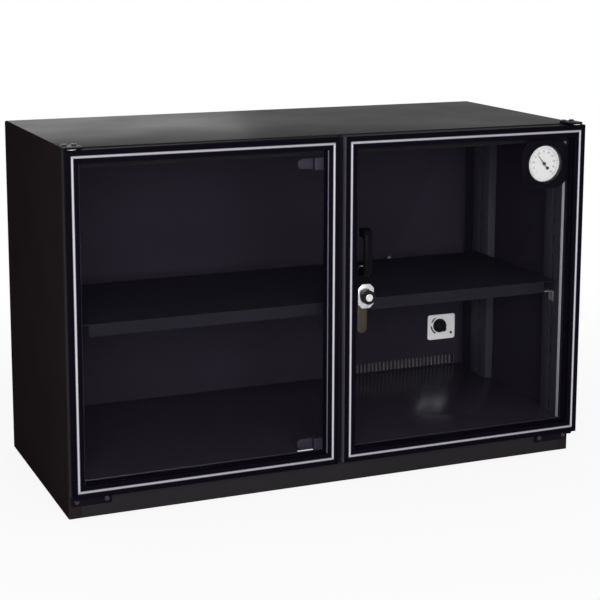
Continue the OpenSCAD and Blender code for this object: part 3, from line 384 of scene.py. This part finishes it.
def pale_floor():
    """A floor that turns into plain white for the camera, and keeps a shadow near the cabinet."""
    bpy.ops.mesh.primitive_plane_add(size=FLOOR_W, location=(0, 0, 0))
    floor = bpy.context.object
    floor.name = "studio_floor"
    finish = Finish("studio_floor", roughness=0.9, specular_ior_level=0.0)
    speck = finish.noise(3.0)
    finish.set(base_color=finish.colour(speck, (0.93, 0.93, 0.93), (0.95, 0.95, 0.95)))
    x, y, z = finish.axes()
    away = (x * x + y * y).math("SQRT")
    white = finish.node("ShaderNodeMapRange", {"interpolation_type": "SMOOTHSTEP"},
                        {"Value": away, "From Min": SHADOW_R, "From Max": WHITE_R,
                         "To Min": SHADOW_WHITE, "To Max": 1.0})
    seen = finish.light_path("Is Camera Ray").most(finish.light_path("Is Glossy Ray"))
    seen = seen.most(finish.light_path("Is Transmission Ray"))
    glow = finish.node("ShaderNodeEmission", {}, {"Color": (1, 1, 1, 1), "Strength": 1.0})
    finish.cover(seen * white, glow)
    floor.data.materials.append(finish.material)


pale_floor()
print("world, two soft boxes and a floor")

# %% [markdown]
# ## The other finishes
#
# Each bought-in piece has its own stuff: drawn aluminium for the bright line round each door,
# polished glass, zinc-plated screws, brass, moulded plastics and rubber. Each gets the marks that
# its making leaves: drawing lines run along a bar, plating is cloudy, moulded plastic has a fine
# grain.

# %% Door frame and bright inlay
FRAME_LOW, FRAME_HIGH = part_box("right_door_frame")
BAR_W = 20 * MM
MITRE_LINE = 0.25 * MM
INLAY_W = 4.2 * MM
INLAY_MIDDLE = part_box("right_door_trim")[0].x - FRAME_LOW.x + INLAY_W / 2
BEAD_HALF = 1.25 * MM
HIGHLIGHT_FACE = 0.1 * MM
LEVEL_SHADE = 0.68
DRAWING_LINES = 1600
DRAWING_LENGTH = 6
GLASS_FRONT_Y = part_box("right_door_glass")[0].y + 1.5 * MM
STILE_PAINTED_HIGHLIGHT = (0.20, 0.19, 0.27)
GAP_PAINTED_HIGHLIGHT = (0.060, 0.056, 0.070)


def bar_masks(finish):
    """Vertical bars, mitre lines and the distance from the frame's edge, on either door."""
    x, y, z = finish.axes()
    side = x.size()
    from_side = (side - FRAME_LOW.x).least(FRAME_HIGH.x - side)
    from_end = (z - FRAME_LOW.z).least(FRAME_HIGH.z - z)
    upright = from_side < from_end
    near_corner = from_end < BAR_W
    mitre = ((from_side - from_end).size() < MITRE_LINE) * near_corner
    return upright, mitre, from_side.least(from_end)


def bare_edges(finish, upright, from_edge, base):
    """Painted highlights: a light colour on the left stile's inner face before the glass, and on
    the faces along the centre gap.
    """
    x, y, z = finish.axes()
    inner = upright * (from_edge > BAR_W - HIGHLIGHT_FACE) * (y < GLASS_FRONT_Y) * (x < 0)
    base = finish.colour(inner, base, STILE_PAINTED_HIGHLIGHT)
    return finish.colour(x.size() < FRAME_LOW.x + HIGHLIGHT_FACE, base, GAP_PAINTED_HIGHLIGHT)


def drawn_bar(name, dark, light, marks, bead_half=None, **shader):
    """Drawn metal; with bead_half the inlay's middle stays bright, and the strips either side of it
    and the level bars get painted shade.
    """
    finish = Finish(name, **shader)
    upright, mitre, from_edge = bar_masks(finish)
    if bead_half:
        # Painted shade: the inlay is darkened outside its middle, where a rounded bead turns away
        # from the light, and on the level bars.
        off_middle = (from_edge - INLAY_MIDDLE).size()
        mitre = mitre.most(off_middle > bead_half)
        shaded = (upright + LEVEL_SHADE).least(1.0)
    along_x = finish.stretched(DRAWING_LENGTH, DRAWING_LINES, DRAWING_LINES)
    along_z = finish.stretched(DRAWING_LINES, DRAWING_LINES, DRAWING_LENGTH)
    level_lines = finish.noise(1.0, 2.0, along_x)
    upright_lines = finish.noise(1.0, 2.0, along_z)
    lines = upright * upright_lines + (1 - upright) * level_lines
    base = finish.colour(lines, dark, light)
    if bead_half:
        base = finish.scaled(shaded, base)
    else:
        base = bare_edges(finish, upright, from_edge, base)
    finish.set(base_color=finish.colour(mitre, base, tuple(0.35 * v for v in dark)))
    return finish.bump(lines - 2.0 * mitre, 0.04 * MM, marks).material


frame_paint = drawn_bar("frame_paint", (0.0022, 0.0016, 0.0036), (0.0034, 0.0026, 0.0055), 0.2,
                        roughness=0.42, specular_ior_level=0.003)
bright_inlay = drawn_bar("bright_inlay", (0.30, 0.29, 0.33), (0.46, 0.45, 0.49), 0.3, BEAD_HALF,
                         roughness=0.5, specular_ior_level=0.2)
print("door frame and inlay finishes")

# %% [markdown]
# The panes are clear, with a faint smear that changes how much they cover. The lens over the dial
# is a clear plastic.

# %% Glass


def clear_pane(name, tint, alpha, roughness):
    finish = Finish(name, roughness=roughness, specular_ior_level=0.02)
    smear = finish.noise(4.0, 3.0)
    finish.set(base_color=finish.colour(smear, tint, tuple(0.7 * v for v in tint)))
    return finish.set(alpha=alpha - 0.02 + 0.04 * smear).material


door_glass = clear_pane("door_glass", (0.010, 0.009, 0.016), 0.08, 0.03)
dial_lens = clear_pane("dial_lens", (0.5, 0.5, 0.5), 0.05, 0.04)
print("glass finishes")

# %% [markdown]
# Plated and drawn metals have a cloudy colour and gloss, with fine scratches that run upwards.

# %% Metals


CLOUD_SCALE = 160.0
SCRATCH_SCALE = 700.0
SCRATCH_DEPTH = 0.02 * MM


def plated_metal(name, dark, light, roughness):
    finish = Finish(name, metallic=0.9)
    cloud = finish.noise(CLOUD_SCALE, 3.0)
    scratch = finish.noise(SCRATCH_SCALE, 2.0, finish.stretched(1.0, 1.0, 0.12))
    finish.set(base_color=finish.colour(cloud, dark, light))
    finish.set(roughness=roughness - 0.08 + 0.16 * cloud)
    return finish.bump(scratch, SCRATCH_DEPTH, 0.3).material


zinc = plated_metal("zinc", (0.55, 0.55, 0.58), (0.82, 0.82, 0.85), 0.3)
dull_zinc = plated_metal("dull_zinc", (0.20, 0.20, 0.21), (0.32, 0.32, 0.34), 0.5)
black_oxide = plated_metal("black_oxide", (0.020, 0.020, 0.024), (0.045, 0.045, 0.052), 0.35)
# Painted shade: the brass is given a colour far darker than brass, for the lock cam that sits in
# shade.
brass_painted_shade = plated_metal("brass_painted_shade", (0.045, 0.037, 0.026), (0.065, 0.055, 0.040), 0.5)
mill_aluminium = plated_metal("mill_aluminium", (0.6, 0.61, 0.63), (0.78, 0.79, 0.8), 0.45)
print("metal finishes")

# %% [markdown]
# Moulded pieces take the texture of their mould: a fine grain on plastic, a finer one on rubber,
# and a coarse, shallow one where the surface is meant to be glossy.

# %% Plastics and rubber
GRAIN = 900.0
GLOSSY_GRAIN = 300.0
RUBBER_GRAIN = 1500.0
GRAIN_DEPTH = 0.04 * MM
SHADE_SCALE = 40.0


def moulded(name, dark, light, roughness, gloss, grain=GRAIN):
    finish = Finish(name, specular_ior_level=gloss)
    texture = finish.noise(grain, 3.0)
    shade = finish.noise(SHADE_SCALE, 2.0)
    finish.set(base_color=finish.colour(shade, dark, light))
    finish.set(roughness=roughness - 0.05 + 0.1 * texture)
    return finish.bump(texture, GRAIN_DEPTH, 0.4).material


black_plastic = moulded("black_plastic", (0.006, 0.006, 0.008), (0.010, 0.010, 0.012), 0.42, 0.04)
gloss_black = moulded("gloss_black", (0.0022, 0.0019, 0.0030), (0.0034, 0.0030, 0.0045),
                      0.25, 0.02, GLOSSY_GRAIN)
lever_black = moulded("lever_black", (0.020, 0.018, 0.028), (0.028, 0.025, 0.038),
                      0.3, 0.1, GLOSSY_GRAIN)
surround_black = moulded("surround_black", (0.0022, 0.0018, 0.0032), (0.0036, 0.0030, 0.0050),
                         0.4, 0.02)
rubber = moulded("rubber", (0.0030, 0.0028, 0.0040), (0.0050, 0.0048, 0.0065),
                 0.75, 0.01, RUBBER_GRAIN)
door_gasket = moulded("door_gasket", (0.012, 0.011, 0.016), (0.020, 0.018, 0.026),
                      0.6, 0.02, RUBBER_GRAIN)
natural_nylon = moulded("natural_nylon", (0.62, 0.61, 0.57), (0.70, 0.69, 0.64), 0.45, 0.4)
lamp_lens = moulded("lamp_lens", (0.05, 0.004, 0.004), (0.09, 0.008, 0.006), 0.15, 0.5)
needle_paint = moulded("needle_paint", (0.006, 0.006, 0.006), (0.012, 0.012, 0.012), 0.5, 0.3)
coil_black = moulded("coil_black", (0.03, 0.03, 0.032), (0.045, 0.045, 0.05), 0.5, 0.3)
print("plastic and rubber finishes")

# %% [markdown]
# ## Printed scales
#
# The dial and the control plate carry printed scales. A ring of ticks or an arc follows a rule, so
# it is drawn by sums on the distance and the direction from the centre. Numbers don't follow one,
# so they are text made into thin meshes further down.

# %% Printed dial and plate
DIAL_LOW, DIAL_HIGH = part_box("hygrometer_dial")
DIAL_MIDDLE = (DIAL_LOW + DIAL_HIGH) / 2
DIAL_R = (DIAL_HIGH.x - DIAL_LOW.x) / 2
KNOB_LOW, KNOB_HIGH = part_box("control_knob")
KNOB_MIDDLE = (KNOB_LOW + KNOB_HIGH) / 2
SCALE_SWEEP = 135
INK = (0.02, 0.02, 0.025)
PAPER_DEPTH = 0.02 * MM


def polar(finish, middle):
    """The distance from the middle, and the direction in degrees from straight up."""
    x, y, z = finish.axes()
    across = x - middle.x
    up = z - middle.z
    radius = (across * across + up * up).math("SQRT")
    return radius, across.math("ARCTAN2", up) * (180 / math.pi)


def ticks(finish, middle, inner, outer, step, width):
    """Radial ticks every step degrees over the swept part of a ring."""
    radius, angle = polar(finish, middle)
    turns = angle / step
    off = (turns - turns.math("ROUND")).size() * (math.radians(step)) * radius
    swept = angle.size() < SCALE_SWEEP + step / 4
    return (off < width / 2) * (radius > inner) * (radius < outer) * swept


def band(finish, middle, inner, outer, start, end, gap, gap_half):
    """A printed arc from start to end, left out round a gap, all in degrees from straight up."""
    radius, angle = polar(finish, middle)
    swept = (angle > start) * (angle < end) * ((angle - gap).size() > gap_half)
    return (radius > inner) * (radius < outer) * swept


def printed_face(name, middle, white, rings, arc=None):
    """A white face with rings of ticks, and with one arc where it is given."""
    finish = Finish(name, roughness=0.45, specular_ior_level=0.3)
    paper = finish.noise(60.0, 2.0)
    base = finish.colour(paper, white, tuple(0.96 * v for v in white))
    print_mask = ticks(finish, middle, *rings[0])
    for ring in rings[1:]:
        print_mask = print_mask.most(ticks(finish, middle, *ring))
    if arc:
        print_mask = print_mask.most(band(finish, middle, *arc))
    finish.set(base_color=finish.colour(print_mask, base, INK))
    return finish.bump(finish.noise(900.0), PAPER_DEPTH, 0.2).material


# Each ring of ticks: inner radius, outer radius, step in degrees, width of a tick.
DIAL_RINGS = ((0.84 * DIAL_R, 0.90 * DIAL_R, 2.7, 0.25 * MM),
              (0.78 * DIAL_R, 0.90 * DIAL_R, 27, 0.5 * MM))
PLATE_R = 19.5 * MM
PLATE_RINGS = ((0.92 * PLATE_R, 0.96 * PLATE_R, 54, 0.4 * MM),)
# The arc: inner radius, outer radius, start, end, middle of the gap, half the gap.
PLATE_ARC = (15.6 * MM, 18.4 * MM, -155, -30, -80, 12)
dial_print = printed_face("dial_print", DIAL_MIDDLE, (0.82, 0.82, 0.82), DIAL_RINGS)
plate_print = printed_face("plate_print", KNOB_MIDDLE, (0.95, 0.95, 0.97), PLATE_RINGS, PLATE_ARC)
print("printed finishes")

# %% [markdown]
# The drying unit shows only through its louvres: a pack of dark granules and a green board whose
# tracks are lighter than its lacquer.

# %% Finishes of the drying unit
GRANULE_SCALE = 420.0
GRANULE_DEPTH = 0.6 * MM
TRACK_SCALE = 160.0
CELL_COLOUR_OUT = 1


def granules():
    finish = Finish("granules", roughness=0.7)
    where = {"Vector": finish.place, "Scale": GRANULE_SCALE}
    cells = finish.node("ShaderNodeTexVoronoi", {}, where, CELL_COLOUR_OUT)
    crumbs = finish.node("ShaderNodeTexVoronoi", {}, where)
    finish.set(base_color=finish.colour(0.12, (0.05, 0.04, 0.035), cells))
    return finish.bump(1 - crumbs, GRANULE_DEPTH, 0.8).material


def board_lacquer():
    finish = Finish("board_lacquer", roughness=0.35)
    tracks = finish.node("ShaderNodeTexBrick", {},
                         {"Vector": finish.place, "Scale": TRACK_SCALE, "Mortar Size": 0.05,
                          "Color1": (0.012, 0.09, 0.03, 1), "Color2": (0.016, 0.11, 0.04, 1),
                          "Mortar": (0.05, 0.22, 0.09, 1)})
    return finish.set(base_color=tracks).material


desiccant = granules()
green_board = board_lacquer()
print("drying unit finishes")

# %% [markdown]
# ## Giving the carried-over pieces their finish
#
# Every construction node gets the finish of its material slot, or its own where it differs. The
# nodes that are already right in shape are shown as they are: the two panes, the dial and its
# lens, the desiccant pack and the humidistat's shaft. The cells after this one work on copies of
# the rest.

# %% Dress the construction nodes
FINISH_OF_SLOT = {
    "body_paint": body_paint, "hinge_black": hinge_paint, "frame_paint": frame_paint,
    "inlay": bright_inlay, "door_glass": door_glass, "lens": dial_lens, "rubber": rubber,
    "black_plastic": black_plastic, "bright_steel": zinc, "heater": mill_aluminium,
    "brass": brass_painted_shade, "dial_white": dial_print, "needle_black": needle_paint,
    "plate_white": plate_print, "desiccant": desiccant, "board_green": green_board,
    "coil_grey": coil_black}
FINISH_OF_NODE = {
    "top_panel": top_paint, "floor_panel": floor_paint, "plinth_rail": plinth_paint,
    "shelf": shelf_paint, "indicator_lamp": lamp_lens, "back_panel_plug": dull_zinc,
    "left_front_upright": upright_paint, "left_rear_upright": upright_paint,
    "right_front_upright": upright_paint, "right_rear_upright": upright_paint,
    "left_door_bushes": natural_nylon, "right_door_bushes": natural_nylon,
    "left_door_gasket": door_gasket, "right_door_gasket": door_gasket,
    "hinge_screws": black_oxide, "rear_cover_screws": black_oxide,
    "hygrometer_back_plate": surround_black, "hygrometer_housing": surround_black,
    "latch_bases": lever_black, "upper_latch_lever": lever_black,
    "lower_latch_lever": lever_black, "pull_handle": gloss_black}


def finish_of(node):
    return FINISH_OF_NODE.get(node, FINISH_OF_SLOT[slot_of_node[node]])


for name, piece in nodes.items():
    piece.data.materials.clear()
    piece.data.materials.append(finish_of(name))
print("dressed", len(nodes), "nodes")

# %% [markdown]
# ## Edges
#
# A folded sheet has a small round at every edge, and so has a moulded or turned piece. Those
# rounds are what catches the light, so each piece is copied from its construction node, its
# triangles are merged back into whole faces, and a narrow bevel is applied. A bevel takes material
# away at an outer edge, so the piece stays in its box.

# %% Eased copies
FLAT = math.radians(0.5)
SHARP = math.radians(30)
SMOOTH = math.radians(35)
WELD = 0.002 * MM
WIDE_EDGE = 1.0


def select_only(piece):
    bpy.ops.object.select_all(action="DESELECT")
    piece.hide_viewport = False
    piece.select_set(True)
    bpy.context.view_layer.objects.active = piece


def whole_faces(piece):
    """Merges the triangles of a construction mesh back into flat faces."""
    select_only(piece)
    bpy.ops.object.mode_set(mode="EDIT")
    bpy.ops.mesh.select_all(action="SELECT")
    bpy.ops.mesh.remove_doubles(threshold=WELD)
    bpy.ops.mesh.dissolve_limited(angle_limit=FLAT)
    bpy.ops.object.mode_set(mode="OBJECT")


def round_edges(piece, width, segments=2):
    select_only(piece)
    bevel = piece.modifiers.new("edge_round", "BEVEL")
    bevel.width = width
    bevel.segments = segments
    bevel.limit_method = "ANGLE"
    bevel.angle_limit = SHARP
    bpy.ops.object.modifier_apply(modifier=bevel.name)
    bpy.ops.object.shade_smooth_by_angle(angle=SMOOTH)


def attach(piece, node):
    """Rides a piece on its node's body and lets it stand for that node."""
    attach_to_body(piece, body_of_node[node])
    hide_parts(node)


def copy_of(node):
    select_only(nodes[node])
    bpy.ops.object.duplicate()
    piece = bpy.context.object
    piece.name = node + "_dressed"
    whole_faces(piece)
    return piece


# The width of the eased edge in millimetres, and the nodes that have it.
EASE = {
    0.7: ("left_door_frame", "right_door_frame", "top_panel", "left_side_panel",
          "right_side_panel", "lock_barrel", "latch_bases", "hygrometer_back_plate"),
    0.5: ("shelf", "upper_left_hinge_plate", "upper_right_hinge_plate", "lower_left_hinge_bracket",
          "lower_right_hinge_bracket", "rear_cover", "control_plate", "back_panel_plug"),
    0.3: ("back_panel", "floor_panel", "plinth_rail", "rear_base_rail", "left_front_upright",
          "left_rear_upright", "right_front_upright", "right_rear_upright", "shelf_clips",
          "left_door_gasket", "right_door_gasket", "centre_seal", "lock_nut", "lock_plug",
          "lock_cam", "hygrometer_housing", "dryer_case", "power_inlet", "humidistat_body",
          "indicator_lamp"),
    0.15: ("left_door_trim", "right_door_trim", "left_door_bushes", "right_door_bushes",
           "dryer_shutter", "heater_plate", "circuit_board", "shutter_solenoid",
           "hygrometer_needle"),
    1.2: ("upper_latch_lever", "lower_latch_lever"),
    1.6: ("pull_handle",)}
for width, names in EASE.items():
    for name in names:
        piece = copy_of(name)
        round_edges(piece, width * MM, 3 if width > WIDE_EDGE else 2)
        attach(piece, name)
print("eased", sum(len(names) for names in EASE.values()), "pieces")

# %% [markdown]
# ## Screws
#
# The screw heads are cross-recessed. The recess is pressed into the head when it is made, so here
# too one cross is sunk into each head: two crossed bars are placed on the head and cut out. One
# node holds several screws, so its mesh is first sorted into its separate shells.

# %% Screw heads with a cross recess
# Shares of the head's radius, and the depth below the head's face.
CROSS_W = 0.56
CROSS_L = 1.15
CROSS_DEPTH = 0.88 * MM
SCREW_EASE = 0.35 * MM


def loose_parts(piece):
    """The low and high corner of every separate shell of a mesh."""
    mesh = piece.data
    group = list(range(len(mesh.vertices)))

    def root(i):
        while group[i] != i:
            group[i] = group[group[i]]
            i = group[i]
        return i

    for edge in mesh.edges:
        a, b = (root(v) for v in edge.vertices)
        group[a] = b
    parts = {}
    for vertex in mesh.vertices:
        parts.setdefault(root(vertex.index), []).append(vertex.co)
    return [tuple(Vector([pick(co[i] for co in places) for i in range(3)]) for pick in (min, max))
            for places in parts.values()]


def cross_cutter(middle, axis, radius):
    """Two crossed bars whose middle lies on the head's outer face."""
    bars = []
    for sides in ((CROSS_W, CROSS_L), (CROSS_L, CROSS_W)):
        size = [share * radius for share in sides]
        size.insert(axis, 2 * CROSS_DEPTH)
        bpy.ops.mesh.primitive_cube_add(size=1, location=middle, scale=size)
        bars.append(bpy.context.object)
    return bars


def cut_out(piece, cutters):
    """Takes each cutter out of the piece and deletes it."""
    for cutter in cutters:
        cut = piece.modifiers.new("cut", "BOOLEAN")
        cut.operation = "DIFFERENCE"
        cut.solver = "EXACT"
        cut.object = cutter
        select_only(piece)
        bpy.ops.object.modifier_apply(modifier=cut.name)
        select_only(cutter)
        bpy.ops.object.delete()


def recess(piece, outward):
    """Cuts a cross into the head of each screw; outward gives the head's side for one part."""
    bars = []
    for low, high in loose_parts(piece):
        axis, side = outward(low, high)
        middle = (low + high) / 2
        middle[axis] = (high if side > 0 else low)[axis]
        others = [i for i in range(3) if i != axis]
        radius = min((high - low)[i] for i in others) / 2
        bars += cross_cutter(middle, axis, radius)
    cut_out(piece, bars)
    select_only(piece)
    bpy.ops.object.shade_smooth_by_angle(angle=SMOOTH)


def facing_back(low, high):
    return 1, 1


def up_or_front(low, high):
    """The upper hinge screws look up, and the lower ones look to the front."""
    return (2, 1) if low.z > BODY_HIGH.z / 2 else (1, -1)


OUTWARD = {
    "hinge_screws": up_or_front, "latch_screws": facing_back, "handle_screws": facing_back,
    "cam_screw": facing_back, "rear_cover_screws": facing_back}
for name, outward in OUTWARD.items():
    piece = copy_of(name)
    round_edges(piece, SCREW_EASE)
    recess(piece, outward)
    attach(piece, name)
print("screws", list(OUTWARD))

# %% [markdown]
# ## Knob
#
# The control knob is moulded with flutes round its skirt, so that fingers can turn it. One round
# cutter is copied round the knob's axis, and the ring of cutters is taken out of the skirt.

# %% Fluted knob
FLUTES = 20
FLUTE_R = 0.8 * MM
SKIRT_DEPTH = 9 * MM
KNOB_EASE = 0.3 * MM


def on_circle(middle, radius, y, angle):
    """A point round a middle that faces the front, with the angle from straight up."""
    return middle.x + radius * math.sin(angle), y, middle.z + radius * math.cos(angle)


def fluted_knob():
    piece = copy_of("control_knob")
    radius = (KNOB_HIGH.x - KNOB_LOW.x) / 2
    flutes = []
    for i in range(FLUTES):
        place = on_circle(KNOB_MIDDLE, radius, KNOB_HIGH.y, 2 * math.pi * (i + 0.5) / FLUTES)
        bpy.ops.mesh.primitive_cylinder_add(vertices=12, radius=FLUTE_R, depth=SKIRT_DEPTH,
                                            location=place, rotation=(math.pi / 2, 0, 0))
        flutes.append(bpy.context.object)
    cut_out(piece, flutes)
    round_edges(piece, KNOB_EASE)
    attach(piece, "control_knob")


fluted_knob()
print("knob with", FLUTES, "flutes")

# %% [markdown]
# ## Printed numbers
#
# The dial reads relative humidity from 0 to 100 and the control plate is marked with plain steps.
# Each number is set as text, turned into a thin mesh and laid on the face.

# %% Numbers on the dial and on the control plate
INK_T = 0.05 * MM
DIAL_TEXT = 4.2 * MM
DIAL_TEXT_R = 0.66 * DIAL_R
PLATE_TEXT = 2.6 * MM
PLATE_TEXT_R = 17 * MM
PLATE_SWEEP = 110
PLATE_FRONT_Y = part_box("control_plate")[0].y
ink = moulded("ink", (0.010, 0.010, 0.012), (0.020, 0.020, 0.024), 0.5, 0.05)


def printed_numbers(name, node, labels, middle, radius, front_y, size, sweep):
    """Upright numbers evenly spaced along an arc, facing -Y, joined into one piece."""
    letters = []
    for i, label in enumerate(labels):
        angle = math.radians(-sweep + 2 * sweep * i / (len(labels) - 1))
        place = on_circle(middle, radius, front_y - INK_T / 2, angle)
        bpy.ops.object.text_add(location=place, rotation=(math.pi / 2, 0, 0))
        text = bpy.context.object
        text.data.body = label
        text.data.size = size
        text.data.align_x = "CENTER"
        text.data.align_y = "CENTER"
        text.data.extrude = INK_T / 2
        bpy.ops.object.convert(target="MESH")
        letters.append(bpy.context.object)
    bpy.ops.object.select_all(action="DESELECT")
    for letter in letters:
        letter.select_set(True)
    bpy.context.view_layer.objects.active = letters[0]
    bpy.ops.object.join()
    bpy.ops.object.transform_apply(location=True, rotation=True, scale=True)
    piece = bpy.context.object
    piece.name = name
    piece.data.materials.clear()
    piece.data.materials.append(ink)
    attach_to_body(piece, body_of_node[node])


HUMIDITY = [str(n) for n in range(0, 101, 10)]
STEPS = ["1", "2", "3", "4", "5", "6"]
printed_numbers("dial_numbers", "hygrometer_dial", HUMIDITY, DIAL_MIDDLE, DIAL_TEXT_R,
                DIAL_LOW.y, DIAL_TEXT, SCALE_SWEEP)
printed_numbers("plate_numbers", "control_plate", STEPS, KNOB_MIDDLE, PLATE_TEXT_R,
                PLATE_FRONT_Y, PLATE_TEXT, PLATE_SWEEP)
print("numbers on the dial and on the plate")

# %% [markdown]
# ## Needle hub and counterweight
#
# The needle of a dial hygrometer is a thin stamped strip with a turned hub pressed on its arbor and
# a round weight on its tail, which keeps it in balance. Both are small discs with an eased rim.

# %% Hub and counterweight of the needle
HUB_R = 3.0 * MM
WEIGHT_R = 2.9 * MM
DISC_T = 0.9 * MM
DISC_EASE = 0.2 * MM
NEEDLE_LOW, NEEDLE_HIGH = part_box("hygrometer_needle")


def needle_disc(name, x, z, radius):
    """A disc that lies on the needle's front face."""
    bpy.ops.mesh.primitive_cylinder_add(vertices=48, radius=radius, depth=DISC_T,
                                        location=(x, NEEDLE_LOW.y - DISC_T / 2, z),
                                        rotation=(math.pi / 2, 0, 0))
    disc = bpy.context.object
    disc.name = name
    bpy.ops.object.transform_apply(location=True, rotation=True, scale=True)
    round_edges(disc, DISC_EASE)
    disc.data.materials.append(needle_paint)
    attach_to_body(disc, "hygrometer_needle")


needle_disc("needle_hub", DIAL_MIDDLE.x, DIAL_MIDDLE.z, HUB_R)
needle_disc("needle_weight", NEEDLE_HIGH.x - WEIGHT_R / 2, NEEDLE_LOW.z + WEIGHT_R / 2, WEIGHT_R)
print("needle hub and counterweight")
